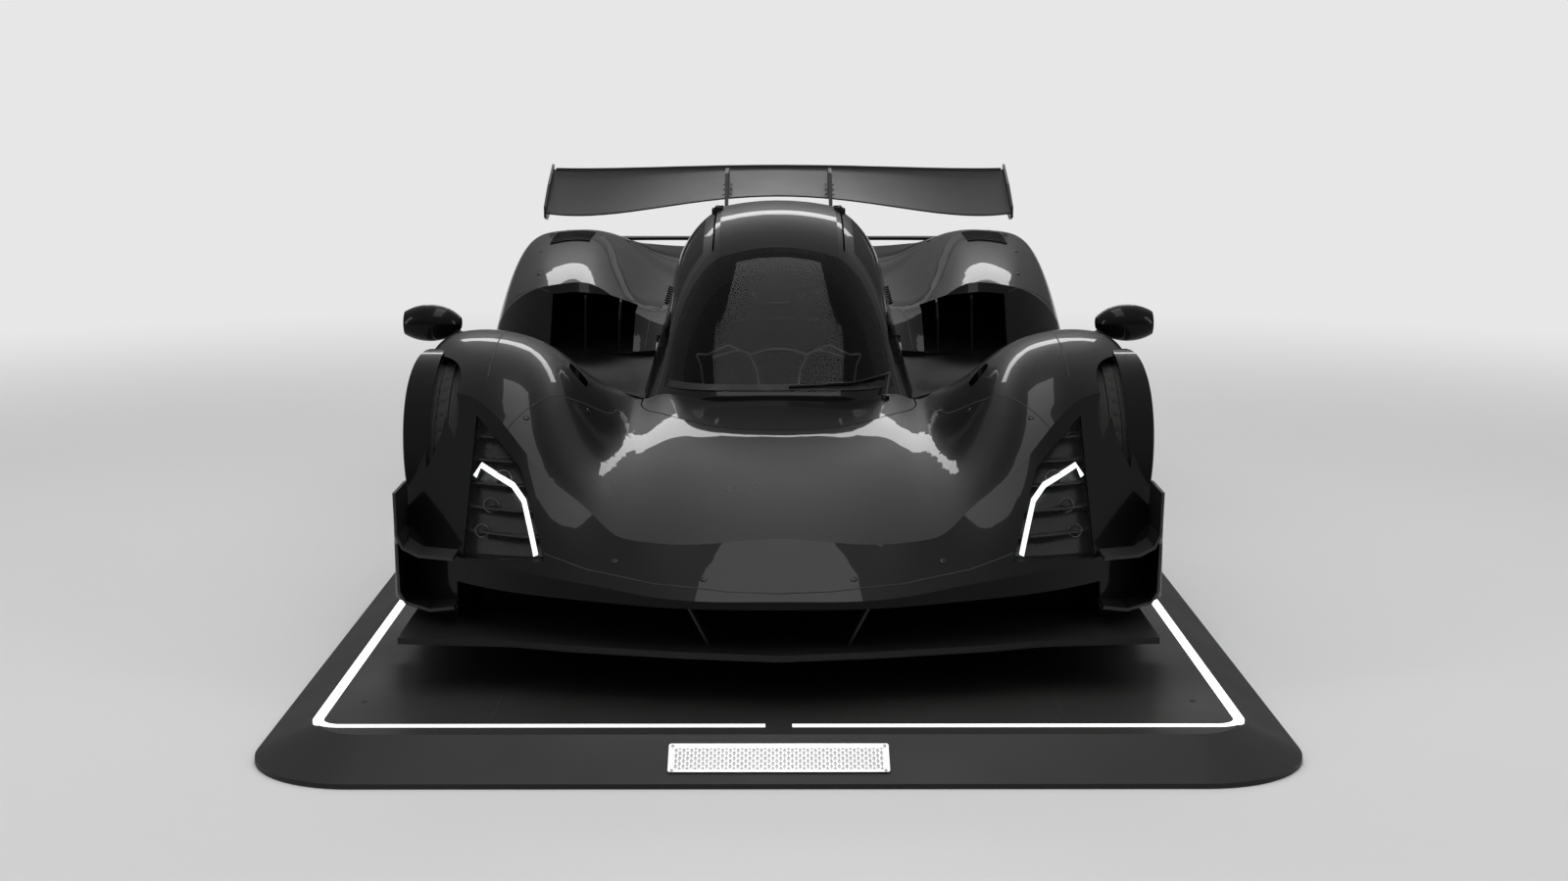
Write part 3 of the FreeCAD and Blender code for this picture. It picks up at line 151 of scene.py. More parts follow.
def satinFinish():
    # satin black carbon: two crossed diagonal bands make the twill that shows in its sheen
    finish = Finish("satin_black_carbon", {"Base Color": grey(0.009), "Roughness": 0.42, "IOR": 1.36})
    twill = finish.bands(165) * finish.bands(165, "Z", 0.4)
    cloud = finish.noise(5, 5)
    finish.roughen(cloud, 0.33, 0.48)
    finish.tint(twill, grey(0.006), grey(0.014))
    finish.bump(twill, 0.00006, 0.3)
    return finish


def plinthFinish():
    # powder coat: fine orange peel, scuffs from shoes and tyres
    finish = Finish("black_powder_coat", {"Base Color": grey(0.009), "Roughness": 0.5, "IOR": 1.36})
    scuff = finish.noise(1.7, 8, (1, 0.6, 1))
    finish.tint(scuff, grey(0.006), grey(0.016, 0.05))
    finish.roughen(finish.noise(3.1, 6), 0.4, 0.62)
    finish.bump(finish.noise(900, 2), 0.00008, 0.5)
    return finish


def glowFinish(name, strength):
    # milky diffuser with faint cool clouds
    finish = Finish(name, {"Base Color": grey(0.9), "Roughness": 0.4,
                           "Emission Color": (0.94, 0.97, 1.0, 1), "Emission Strength": strength})
    finish.link("Emission Color", finish.mix(finish.noise(9, 3), (0.86, 0.92, 1, 1), (1, 1, 1, 1)))
    return finish


def plainFinish(name, colour, rough, metal=0.0, grain=60.0, depth=0.00004):
    # a worked surface: cloudy roughness, slight tone shift and a fine grain
    finish = Finish(name, {"Base Color": colour, "Roughness": rough, "Metallic": metal})
    finish.roughen(finish.noise(14, 5), rough * 0.75, min(rough * 1.25, 1))
    finish.tint(finish.noise(6, 6), shaded(colour, 0.72), colour)
    finish.bump(finish.noise(grain, 3), depth, 0.5)
    return finish


def brushedFinish(name, colour, rough):
    # metal turned or brushed along one way
    finish = Finish(name, {"Base Color": colour, "Roughness": rough, "Metallic": 1.0})
    lines = finish.noise(30, 4, (1, 40, 40))
    finish.roughen(lines, rough * 0.7, rough * 1.4)
    finish.tint(lines, shaded(colour, 0.8), colour)
    finish.bump(lines, 0.00003, 0.4)
    return finish


def glassFinish(name, alpha, tint, index=1.5):
    # laminated glass with faint smears
    finish = Finish(name, {"Base Color": grey(tint), "Roughness": 0.01, "IOR": index, "Alpha": alpha})
    finish.roughen(finish.noise(4, 6), 0.0, 0.008)
    return finish


def weaveFinish(name, colour, scale):
    # webbing: ribs across the strap
    finish = Finish(name, {"Base Color": colour, "Roughness": 0.8})
    ribs = finish.bands(scale, "Y") * finish.bands(scale, "Z")
    finish.tint(ribs, shaded(colour, 0.6), colour)
    finish.bump(ribs, 0.0002, 0.6)
    return finish


def tyreFinish():
    # road rubber: dusty clouds and a fine grain
    finish = Finish("tyre_rubber", {"Base Color": grey(0.014), "Roughness": 0.8})
    dust = finish.noise(11, 8)
    finish.tint(dust, grey(0.009), grey(0.024, 0.06))
    finish.roughen(dust, 0.68, 0.9)
    finish.bump(finish.noise(700, 3), 0.0001, 0.6)
    return finish


def heatFinish():
    # pipe ends: purple turns to straw by distance from the hot end
    finish = Finish("heated_steel", {"Base Color": grey(0.4), "Roughness": 0.25, "Metallic": 1.0})
    along = finish.axis("Y")
    rings = finish.node("ShaderNodeMapRange", inputs={"Value": along, 1: rearAxle + 0.72, 2: rearAxle + 0.84})
    straw = finish.mix(rings, (0.16, 0.12, 0.3, 1), (0.52, 0.4, 0.24, 1))
    finish.tint(finish.noise(24, 5), straw, grey(0.5))
    finish.roughen(finish.noise(18, 4), 0.18, 0.36)
    return finish


def suedeFinish(name, colour):
    # brushed hide: nap clouds and a fine grain
    finish = Finish(name, {"Base Color": colour, "Roughness": 0.9, "IOR": 1.35})
    nap = finish.noise(22, 6)
    finish.tint(nap, shaded(colour, 0.6), colour)
    finish.bump(finish.noise(260, 2), 0.00008, 0.3)
    return finish


finishes = {
    "paint": paintFinish(),
    "satin_black": satinFinish(),
    "plinth_black": plinthFinish(),
    "light": glowFinish("lit_strip", 1.25),
    "plate_metal": brushedFinish("etched_silver", grey(0.52), 0.34),
    "glass": glassFinish("tinted_glass", 0.55, 0.002, 1.18),
    "clear_cover": glassFinish("clear_lamp_cover", 0.12, 0.01, 1.3),
    "tyre": tyreFinish(),
    "rim": plainFinish("satin_dark_alloy", grey(0.045), 0.34, 0.85, 240),
    "alloy": plainFinish("machined_alloy", grey(0.5), 0.32, 1.0, 180),
    "cabin": suedeFinish("black_suede", grey(0.009)),
    "lamp": plainFinish("lamp_black", grey(0.008), 0.28, 0.0, 300),
    "red_lamp": plainFinish("red_lens", (0.3, 0.003, 0.003, 1), 0.12, 0.0, 420, 0.0001),
    "exhaust": heatFinish(),
}
slotOf = {part["node"]: part["material_slot"] for part in frame["record"]["subparts"]}
for name, node in frame["nodes"].items():
    node.data.materials.clear()
    node.data.materials.append(finishes[slotOf[name]].material)
# extra finishes: name, slot of the record that each goes with
extras = {
    # near-black for shut lines, frit, screws and joints; the same finish is painted shade in the disc holes and
    # louvre slots
    "seam": (plainFinish("shut_line", grey(0.0015), 0.7), "satin_black"),
    "steel": (brushedFinish("bright_steel", grey(0.6), 0.22), "alloy"),
    "darkSteel": (plainFinish("black_oxide_steel", grey(0.03), 0.35, 1.0, 220), "alloy"),
    "pad": (suedeFinish("seat_hide", grey(0.012)), "cabin"),
    "strap": (weaveFinish("webbing", grey(0.03), 260), "cabin"),
    "screen": (glassFinish("display_glass", 1.0, 0.006), "cabin"),
    "lens": (glassFinish("lamp_lens", 0.7, 0.03), "clear_cover"),
    "reflector": (brushedFinish("lamp_bowl", grey(0.3), 0.2), "lamp"),
    "mirror": (Finish("mirror_glass", {"Base Color": grey(0.75), "Roughness": 0.02, "Metallic": 1.0}), "paint"),
    "disc": (brushedFinish("brake_disc", grey(0.2), 0.38), "rim"),
    "silver": (plainFinish("silver_lacquer", grey(0.8), 0.3, 0.2, 200), "alloy"),
    "spring": (plainFinish("spring_lacquer", grey(0.05), 0.3, 0.3, 240), "alloy"),
    "mesh": (plainFinish("black_mesh", grey(0.01), 0.5, 0.2, 300), "satin_black"),
    "glow": (glowFinish("lit_guide", 1.2), "light"),
}
finishes.update({name: finish for name, (finish, slot) in extras.items()})
print("stage: finishes")


def vec(*values):
    return np.array(values, float)


def at(x, back, high):
    # car coordinates in metres: sideways, back from the front axle, above the plinth
    return vec(x, frontAxle + back, ground + high)


def piece(name, forms, finish, body=car, smooth=True, replaced=()):
    # one object from several vertex and face lists
    vertices = []
    faces = []
    for points, polygons in forms:
        base = sum(len(part) for part in vertices)
        vertices.append(np.asarray(points, float))
        faces += [[base + index for index in polygon] for polygon in polygons]
    mesh = bpy.data.meshes.new(name)
    mesh.from_pydata(np.concatenate(vertices).tolist(), [], faces)
    mesh.update()
    made = bpy.data.objects.new(name, mesh)
    bpy.context.scene.collection.objects.link(made)
    mesh.materials.append(finishes[finish].material)
    if smooth:
        mesh.polygons.foreach_set("use_smooth", np.ones(len(mesh.polygons), bool))
        mesh.set_sharp_from_angle(angle=math.radians(38))
    if replaced:
        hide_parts(*replaced)
    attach(made, body)
    return made


def spread(half, count):
    return np.linspace(-half, half, count)


def boxForm(low, high):
    xs, ys, zs = zip(low, high)
    points = [(x, y, z) for x in xs for y in ys for z in zs]
    return points, [(0, 1, 3, 2), (4, 6, 7, 5), (0, 4, 5, 1), (2, 3, 7, 6), (0, 2, 6, 4), (1, 5, 7, 3)]


def gridFaces(rows, columns, wrapRows=False, wrapColumns=False):
    faces = []
    for i in range(rows - (0 if wrapRows else 1)):
        for j in range(columns - (0 if wrapColumns else 1)):
            a = (i + 1) % rows
            b = (j + 1) % columns
            faces.append((i * columns + j, a * columns + j, a * columns + b, i * columns + b))
    return faces


def turnsOf(count):
    return np.linspace(0, 2 * math.pi, count, endpoint=False)


def tubeForm(path, radius, sides=8, closed=False):
    # circles carried along a path, each turned square to it
    path = np.asarray(path, float)
    count = len(path)
    if closed:
        tangents = np.roll(path, -1, 0) - np.roll(path, 1, 0)
    else:
        tangents = np.gradient(path, axis=0)
    tangents /= np.linalg.norm(tangents, axis=1)[:, None]
    across = np.cross(tangents[0], (0.3, 0.2, 1.0) if abs(tangents[0][2]) < 0.9 else (1.0, 0.1, 0.0))
    radii = np.broadcast_to(radius, count)
    rings = []
    angles = turnsOf(sides)
    for spot, tangent, wide in zip(path, tangents, radii):
        across = across - tangent * np.dot(across, tangent)
        across /= np.linalg.norm(across)
        up = np.cross(tangent, across)
        rings.append(spot + wide * (np.cos(angles)[:, None] * across + np.sin(angles)[:, None] * up))
    faces = gridFaces(count, sides, wrapRows=closed, wrapColumns=True)
    if not closed:
        faces += [tuple(range(sides)), tuple(range((count - 1) * sides, count * sides))[::-1]]
    return np.concatenate(rings), faces


def turnedForm(profile, origin, way, steps=24, closed=False):
    # a profile of (along, out) places swung round an axis
    way = np.asarray(way, float) / np.linalg.norm(way)
    across = np.cross(way, (0.0, 0.0, 1.0) if abs(way[2]) < 0.9 else (1.0, 0.0, 0.0))
    across /= np.linalg.norm(across)
    up = np.cross(way, across)
    angles = turnsOf(steps)
    points = [np.asarray(origin) + along * way + out * (math.cos(angle) * across + math.sin(angle) * up)
              for along, out in profile for angle in angles]
    faces = gridFaces(len(profile), steps, wrapRows=closed, wrapColumns=True)
    if not closed:
        faces += [tuple(range(steps))[::-1], tuple(range((len(profile) - 1) * steps, len(profile) * steps))]
    return points, faces


def plateForm(outline, way):
    # a flat outline pushed along a vector
    outline = np.asarray(outline, float)
    count = len(outline)
    sides = [(i, (i + 1) % count, count + (i + 1) % count, count + i) for i in range(count)]
    return np.concatenate([outline, outline + np.asarray(way)]), sides + [
        tuple(range(count))[::-1], tuple(range(count, 2 * count))]


def stripForm(*edges):
    # four lines of equal length joined round into a strip
    return np.stack(edges, axis=1).reshape(-1, 3), gridFaces(len(edges[0]), 4, wrapColumns=True)


def flipped(form):
    # the same form on the car's other side
    points, faces = form
    return np.asarray(points) * (-1, 1, 1), [face[::-1] for face in faces]


def paired(forms):
    return forms + [flipped(form) for form in forms]


def skinOf(*names):
    # a ray target from packed skins
    points = []
    polygons = []
    for name in names:
        mesh = frame["nodes"][name].data
        base = len(points)
        points += [tuple(vertex.co) for vertex in mesh.vertices]
        polygons += [[base + index for index in polygon.vertices] for polygon in mesh.polygons]
    return BVHTree.FromPolygons(points, polygons)


def landed(skin, spots, way):
    # where rays from the spots meet the skin, with its normals turned against the ray
    way = Vector(way).normalized()
    hits = []
    for spot in spots:
        hit, normal = skin.ray_cast(Vector(spot), way, 4.0)[:2]
        if hit is None:
            continue
        if normal.dot(way) > 0:
            normal = -normal
        hits.append((np.array(hit), np.array(normal)))
    return hits


def dense(line, step):
    # even places along a line of corners
    line = np.asarray(line, float)
    lengths = np.linalg.norm(np.diff(line, axis=0), axis=1)
    travel = np.concatenate([[0], np.cumsum(lengths)])
    count = max(int(travel[-1] / step), 2)
    marks = np.linspace(0, travel[-1], count + 1)
    return np.stack([np.interp(marks, travel, line[:, k]) for k in range(3)], axis=1)


def seamForm(skin, line, way, wide=0.0032, lift=0.0006, step=0.012, sink=0.002):
    # a thin strip laid along a line on the skin
    hits = landed(skin, dense(line, step), way)
    if len(hits) < 2:
        return None
    spots = np.array([hit for hit, normal in hits])
    normals = np.array([normal for hit, normal in hits])
    tangents = np.gradient(spots, axis=0)
    tangents /= np.linalg.norm(tangents, axis=1)[:, None] + 1e-9
    left = np.cross(normals, tangents)
    left /= np.linalg.norm(left, axis=1)[:, None] + 1e-9
    half = wide / 2
    return stripForm(spots + left * half - normals * sink, spots + left * half + normals * lift,
                     spots - left * half + normals * lift, spots - left * half - normals * sink)


def onSkin(skin, spots, way, profile, steps=14):
    # small turned parts standing square on the skin
    return [turnedForm(profile, hit, normal, steps) for hit, normal in landed(skin, spots, way)]


def kept(forms):
    return [form for form in forms if form is not None]


# tyres: section runs round from bead to bead, grooves are cut into the tread
tyre = {"around": 288, "grooveDeep": 0.0055, "grooves": (-0.62, -0.22, 0.22, 0.62), "grooveHalf": 0.045,
        "slantPitch": 48, "slantHalf": 0.16, "slantShare": 0.7, "slantLean": 1.3, "slantFrom": 0.3,
        "wallRings": (0.35, 0.5, 0.78), "ringHigh": 0.0012, "bulge": 0.012, "crown": 0.0022}


def tyreSpin(corner, side):
    low, high = [np.array(spot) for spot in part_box("tyre" + corner)]
    centre = (low + high) / 2
    half = (high[0] - low[0]) / 2
    radius = (high[2] - low[2]) / 2
    rimLow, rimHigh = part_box("wheel" + corner)
    rim = (rimHigh.z - rimLow.z) / 2
    tall = radius - rim
    # places (across, out): bead, bulging wall, rounded shoulder, slightly crowned tread
    section = [(half - 0.024, rim - 0.004), (half - 0.021, rim + 0.004), (half - 0.012, rim + 0.012)]
    for share in np.linspace(0.18, 0.82, 11):
        bulge = math.sin(math.pi * min(share / 1.05, 1)) ** 0.5
        ring = sum(math.exp(-((share - spot) / 0.025) ** 2) for spot in tyre["wallRings"])
        across = half - 0.013 + tyre["bulge"] * bulge + tyre["ringHigh"] * ring
        section.append((across, rim + tall * share))
    for turn in np.linspace(0.0, 1.0, 6)[1:]:
        angle = turn * math.pi / 2
        section.append((half - 0.026 + 0.022 * math.cos(angle), radius - 0.027 + 0.0245 * math.sin(angle)))
    treadHalf = section[-1][0]
    tread = [(treadHalf * share, radius - tyre["crown"] * share ** 2)
             for share in np.linspace(0.97, -0.97, 61)]
    section = np.array(section + tread + [(-across, out) for across, out in reversed(section)])
    angles = turnsOf(tyre["around"])
    across = np.broadcast_to(section[:, 0], (len(angles), len(section)))
    out = np.broadcast_to(section[:, 1], (len(angles), len(section))).copy()
    share = across / treadHalf
    onTread = (np.abs(share) < 0.985) & (out > radius - 0.006)
    cut = np.zeros_like(out, bool)
    for groove in tyre["grooves"]:
        cut |= np.abs(share - groove) < tyre["grooveHalf"]
    # slanted cross grooves: their phase runs with the angle and with the distance from the middle
    lean = tyre["slantLean"] * np.abs(share)
    phase = (angles[:, None] * tyre["slantPitch"] / (2 * math.pi) + lean) % 1.0
    slant = (phase < tyre["slantHalf"]) & (np.abs(share) > tyre["slantFrom"])
    deep = tyre["grooveDeep"]
    out = out - (cut & onTread) * deep - (slant & onTread & ~cut) * deep * tyre["slantShare"]
    points = np.stack([centre[0] + side * across, centre[1] + out * np.sin(angles)[:, None],
                       centre[2] + out * np.cos(angles)[:, None]], axis=2).reshape(-1, 3)
    faces = gridFaces(len(angles), len(section), wrapRows=True)
    if side > 0:
        faces = [face[::-1] for face in faces]
    piece("road_tyre" + corner, [(points, faces)], "tyre", body="wheel" + corner, replaced=("tyre" + corner,))


for corner, side in corners:
    tyreSpin(corner, side)
print("stage: tyres")

# wheel furniture: centre nut, lip bolts, valve, drilled disc faces and spoke edge caps
wheel = {"lipBolts": 30, "lipBoltInset": 0.0075, "spokes": 10, "hubBoltRing": 0.0465, "faceInset": 0.040,
         "hubInset": 0.016, "discInset": 0.046, "bellStep": 0.012, "holeRows": 5, "holesRound": 28,
         "holeFirst": 0.098, "holePitch": 0.0185, "holeTurn": 0.2}
# places (along the axle, out from it) of each turned form
turned = {
    "hubRing": [(0, 0.054), (0.004, 0.057), (0.009, 0.056), (0.012, 0.05), (0.012, 0.04)],
    "nut": [(0.010, 0.034), (0.030, 0.034), (0.034, 0.030), (0.034, 0.017), (0.026, 0.014)],
    "cap": [(0.024, 0.0135), (0.028, 0.012), (0.029, 0.004), (0.029, 0.0006)],
    "lipBolt": [(-0.002, 0.0036), (0.0012, 0.0036), (0.0020, 0.0026), (0.0008, 0.0018)],
    "hubBolt": [(0.003, 0.0042), (0.0135, 0.0042), (0.015, 0.003), (0.0125, 0.002)],
    "hole": [(-0.002, 0.0032), (0.0008, 0.0032)],
    "discFace": [(0.0, 0.0865), (0.0006, 0.0875), (0.0006, 0.1888), (0.0, 0.1899)],
}


def rays(count, shift=0.0):
    # directions round the axle with their angles
    for index in range(count):
        angle = 2 * math.pi * (index + shift) / count
        yield angle, vec(0, math.sin(angle), math.cos(angle))


def wheelTrim(corner, side):
    body = "wheel" + corner
    centre = np.array(joints["spin" + corner]["pos_m"])
    low, high = [np.array(spot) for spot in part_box(body)]
    half = (high[0] - low[0]) / 2
    rim = (high[2] - low[2]) / 2
    tyreLow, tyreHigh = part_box("tyre" + corner)
    face = (tyreHigh.x - tyreLow.x) / 2 - wheel["faceInset"]
    way = vec(side, 0.0, 0.0)
    hub = centre + way * (face - wheel["hubInset"])
    steel = [turnedForm(turned["hubRing"], hub, way, 48)]
    nut = turnedForm(turned["nut"], hub, way, 6)
    cap = turnedForm(turned["cap"], hub, way, 24)
    for angle, ray in rays(wheel["lipBolts"]):
        spot = centre + way * (half - 0.0005) + (rim - wheel["lipBoltInset"]) * ray
        steel.append(turnedForm(turned["lipBolt"], spot, way, 6))
    for angle, ray in rays(wheel["spokes"], 0.5):
        steel.append(turnedForm(turned["hubBolt"], hub + wheel["hubBoltRing"] * ray, way, 6))
    valve = centre + way * (face - 0.012) + vec(0, 0.05, rim - 0.036)
    steel.append(tubeForm([valve, valve - vec(0, 0.006, 0.030)], [0.0038, 0.003], 10))
    piece("hub_trim" + corner, steel, "steel", body=body)
    piece("centre_nut" + corner, [nut, cap], "darkSteel", body=body)
    # disc: two ground faces with rows of drilled holes, shown by dark flush plugs that are painted shade for the
    # holes' insides
    inner = face - wheel["discInset"] - wheel["hubInset"] - wheel["bellStep"]
    holeShadePlugs = []
    for row in range(wheel["holeRows"]):
        radius = wheel["holeFirst"] + row * wheel["holePitch"]
        for angle, ray in rays(wheel["holesRound"], row * wheel["holeTurn"]):
            holeShadePlugs.append(turnedForm(turned["hole"], centre + way * inner + radius * ray, way, 8))
    discFace = turnedForm(turned["discFace"], centre + way * inner, way, 72)
    piece("disc_face" + corner, [discFace], "disc", body=body)
    piece("disc_holes" + corner, holeShadePlugs, "seam", body=body)
    # rounded cappings along the spokes' outer faces
    caps = []
    for angle, ray in rays(wheel["spokes"]):
        turn = vec(0, math.cos(angle), -math.sin(angle))
        inside = centre + way * (face - 0.0225) + ray * 0.066
        outside = centre + way * (face - 0.0085) + ray * (rim - 0.020)
        for offset in (-1, 1):
            caps.append(tubeForm([inside + turn * offset * 0.0145, outside + turn * offset * 0.0088],
                                 [0.0028, 0.0022], 6))
    piece("spoke_edges" + corner, caps, "steel", body=body)


for corner, side in corners:
    wheelTrim(corner, side)
print("stage: wheels")

# coil-over units between lower arm and body, one at each corner
spring = {"coils": 7, "wire": 0.0055, "coilRadius": 0.028, "rodRadius": 0.009, "plateRadius": 0.034,
          "tubeRadius": 0.019, "start": 0.16, "span": 0.66}


def coilOver(name, foot, head):
    way = head - foot
    long = np.linalg.norm(way)
    way /= long
    across = np.cross(way, (0, 1.0, 0))
    across /= np.linalg.norm(across)
    up = np.cross(way, across)
    turns = np.linspace(0, 1, spring["coils"] * 20)
    angle = turns * 2 * math.pi * spring["coils"]
    rise = spring["start"] + spring["span"] * turns
    path = foot + way * rise[:, None] * long + spring["coilRadius"] * (
        np.cos(angle)[:, None] * across + np.sin(angle)[:, None] * up)
    piece("spring_" + name, [tubeForm(path, spring["wire"], 7)], "spring")
    thick = spring["rodRadius"]
    plate = spring["plateRadius"]
    tube = spring["tubeRadius"]
    profile = [(0, thick), (0.15, thick * 1.2), (0.15, plate), (0.165, plate), (0.165, tube), (0.6, tube),
               (0.6, thick), (0.82, thick), (0.82, plate), (0.84, plate), (0.84, thick), (1, thick)]
    damper = turnedForm([(share * long, radius) for share, radius in profile], foot, way, 20)
    piece("damper_" + name, [damper], "steel")


for sideName, side in sides:
    coilOver("front_" + sideName, at(side * 0.575, 0.03, 0.275), at(side * 0.47, 0.03, 0.49))
    coilOver("rear_" + sideName, at(side * 0.60, wheelbase - 0.06, 0.3),
             at(side * 0.46, wheelbase - 0.06, 0.54))
print("stage: springs")

# lamps: bowls and domed lenses between the louvres
headlamp = {"units": ((0.700, 0.452, 0.021), (0.726, 0.392, 0.019), (0.744, 0.336, 0.017))}
lampSkin = skinOf("headlamps")
bowls = []
lenses = []
for x, high, radius in headlamp["units"]:
    for hit, normal in landed(lampSkin, [at(x, -1.2, high)], rearward):
        spot = hit + vec(0, -0.004, 0)
        bowl = [(0, radius * 0.7), (-0.004, radius), (-0.016, radius), (-0.016, radius * 0.93),
                (-0.004, radius * 0.85), (-0.004, radius * 0.4)]
        bowls.append(turnedForm(bowl, spot, rearward, 32, closed=True))
        dome = [(-0.008 - 0.45 * radius * math.cos(turn), radius * 0.86 * math.sin(turn))
                for turn in np.linspace(0.05, math.pi / 2, 8)]
        lenses.append(turnedForm(dome, spot, rearward, 28))
piece("lamp_bowls", paired(bowls), "reflector")
piece("lamp_lenses", paired(lenses), "lens")
print("stage: lamps")

# mouth: a diamond wire mesh just in front of the recess's back wall
mouth = {"low": 0.122, "high": 0.212, "back": -0.484, "half": 0.755, "pitch": 0.022, "wire": 0.0011,
         "rimWire": 0.003}


def mouthMesh():
    wires = []
    half = mouth["half"]
    back = mouth["back"]
    low = mouth["low"]
    high = mouth["high"]
    for index in range(-4, int(2 * half / mouth["pitch"]) + 4):
        for lean in (1, -1):
            start = -half + index * mouth["pitch"] - lean * (high - low) / 2
            run = lean * (high - low)
            # the wire is trimmed where it would leave the opening
            shares = [0.0, 1.0] + [(side - start) / run for side in (-half, half)]
            inside = sorted(share for share in shares
                            if 0 <= share <= 1 and abs(start + share * run) <= half + 1e-6)
            if len(inside) < 2:
                continue
            ends = [at(start + share * run, back + 0.001 * lean, low + share * (high - low))
                    for share in (inside[0], inside[-1])]
            wires.append(tubeForm(ends, mouth["wire"], 4))
    rim = [at(-half, back, low), at(half, back, low), at(half, back, high), at(-half, back, high)]
    wires.append(tubeForm(rim, mouth["rimWire"], 6, closed=True))
    piece("mouth_mesh", wires, "mesh")


mouthMesh()

# seams and fasteners laid on the skins, given as (sideways, back) or (back, high) corners
frontSkin = skinOf("front_clam", "cowl")
rearSkin = skinOf("rear_clam")
overFront = 1.3
overRear = 1.5
beside = 1.4
frontDown = [
    # bonnet edge: from the lamp's top back to the cowl
    [(0.700, -0.405), (0.640, -0.30), (0.560, -0.12), (0.480, 0.10), (0.440, 0.30)],
    # bumper split from the lamp's lower corner to the nose
    [(0.575, -0.735), (0.46, -0.80), (0.30, -0.865), (0.12, -0.905), (0.0, -0.915)],
    # fender top seam
    [(0.772, -0.22), (0.772, 0.05), (0.776, 0.30), (0.79, 0.505)],
    # behind the fender vent
    [(0.60, 0.30), (0.66, 0.34), (0.74, 0.36)],
]
rearDown = [
    [(0.470, 1.63), (0.45, 1.95), (0.40, 2.35), (0.33, 2.75), (0.27, 3.05), (0.24, 3.5)],
    [(0.24, 3.05), (0.55, 3.12), (0.92, 3.14)],
    [(0.815, 1.76), (0.90, 1.82), (0.985, 1.90)],
]
rearSide = [
    [(1.66, 0.33), (2.10, 0.36), (2.26, 0.42)],
    [(3.02, 0.55), (3.20, 0.50), (3.415, 0.47)],
]
forms = [seamForm(frontSkin, [at(x, back, overFront) for x, back in line], down) for line in frontDown]
piece("front_seams", paired(kept(forms)), "seam")
forms = [seamForm(rearSkin, [at(x, back, overRear) for x, back in line], down) for line in rearDown]
forms += [seamForm(rearSkin, [at(beside, back, high) for back, high in line], (-1, 0, 0)) for line in rearSide]
piece("rear_seams", paired(kept(forms)), "seam")

boltProfile = [(-0.001, 0.0085), (0.0012, 0.0085), (0.0018, 0.0075), (0.0018, 0.0042), (0.0006, 0.0036),
               (0.0006, 0.0005)]
frontBolts = [(0.655, -0.36), (0.52, -0.06), (0.46, 0.2), (0.86, 0.42), (0.70, 0.45), (0.40, -0.78),
              (0.18, -0.86)]
rearBolts = [(0.87, 1.95), (0.87, 3.08), (0.62, 3.05), (0.36, 2.2), (0.34, 2.9), (0.90, 2.3), (0.90, 2.75)]
bolts = onSkin(frontSkin, [at(x, back, overFront) for x, back in frontBolts], down, boltProfile)
bolts += onSkin(rearSkin, [at(x, back, overRear) for x, back in rearBolts], down, boltProfile)
piece("skin_fasteners", paired(bolts), "darkSteel")
print("stage: seams")

# lips round the front arches, clear of the tyre at full lock
arch = {"inner": 0.3645, "outer": 0.3725, "low": -8, "high": 106, "inside": 0.915, "outside": 0.988,
        "steps": 72, "axleHigh": 0.3465, "fade": 0.35}


def archLips():
    inner = arch["inner"]
    outer = arch["outer"]
    inside = arch["inside"]
    steps = arch["steps"]
    centre = at(0, 0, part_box("tyre_front_left")[0].z - ground + arch["axleHigh"])
    angles = np.radians(np.linspace(arch["low"], arch["high"], steps))
    fade = np.sin(np.linspace(0, math.pi, steps)) ** arch["fade"]
    rings = []
    for angle, share in zip(angles, fade):
        ray = vec(0, -math.cos(angle), math.sin(angle))
        out = inside + (arch["outside"] - inside) * share
        section = ((inside, inner), (out - 0.004, inner), (out, inner + 0.003), (out - 0.003, outer),
                   (inside, outer))
        rings += [centre + vec(x, 0, 0) + ray * radius for x, radius in section]
    ends = [(0, 1, 2, 3, 4), tuple(range((steps - 1) * 5, steps * 5))[::-1]]
    piece("arch_lips", paired([(rings, gridFaces(steps, 5, wrapColumns=True) + ends)]), "paint")


archLips()

# slot louvres over each rear wheel and on the engine deck
# rows: sideways place, first one back, count, pitch, length, turn
louvreRows = ((0.80, 2.42, 9, 0.036, 0.15, 0.0), (0.375, 2.16, 8, 0.045, 0.10, -0.3))
louvre = {"slotWide": 0.011, "lipWide": 0.008, "lipLift": 0.0052, "lipAhead": 0.008}
slotShadeStrips = []
lips = []
for x, first, count, pitch, long, turn in louvreRows:
    for index in range(count):
        back = first + index * pitch
        # one raised lip with a dark strip behind it, painted shade for the slot, laid across the travel direction
        ends = [(x - long / 2, back + turn * long / 2), (x + long / 2, back - turn * long / 2)]
        slotShadeStrips.append(seamForm(rearSkin, [at(a, b, overRear) for a, b in ends], down, louvre["slotWide"]))
        lips.append(seamForm(rearSkin, [at(a, b - louvre["lipAhead"], overRear) for a, b in ends], down,
                             louvre["lipWide"], louvre["lipLift"]))
piece("louvre_slots", paired(kept(slotShadeStrips)), "seam")
piece("louvre_lips", paired(kept(lips)), "paint")
print("stage: louvres")

# windscreen wiper, parked along the foot of the glass
screenSkin = skinOf("windscreen")
wiper = {"line": ((0.325, 0.578), (0.22, 0.562), (0.03, 0.556)), "armLift": 0.011,
         "armRadius": (0.0036, 0.0024), "bladeLift": 0.0055, "bladeRadius": 0.003,
         "rubberLift": 0.002, "rubberRadius": 0.0016,
         "foot": (0.315, 0.40), "footLift": 0.009}


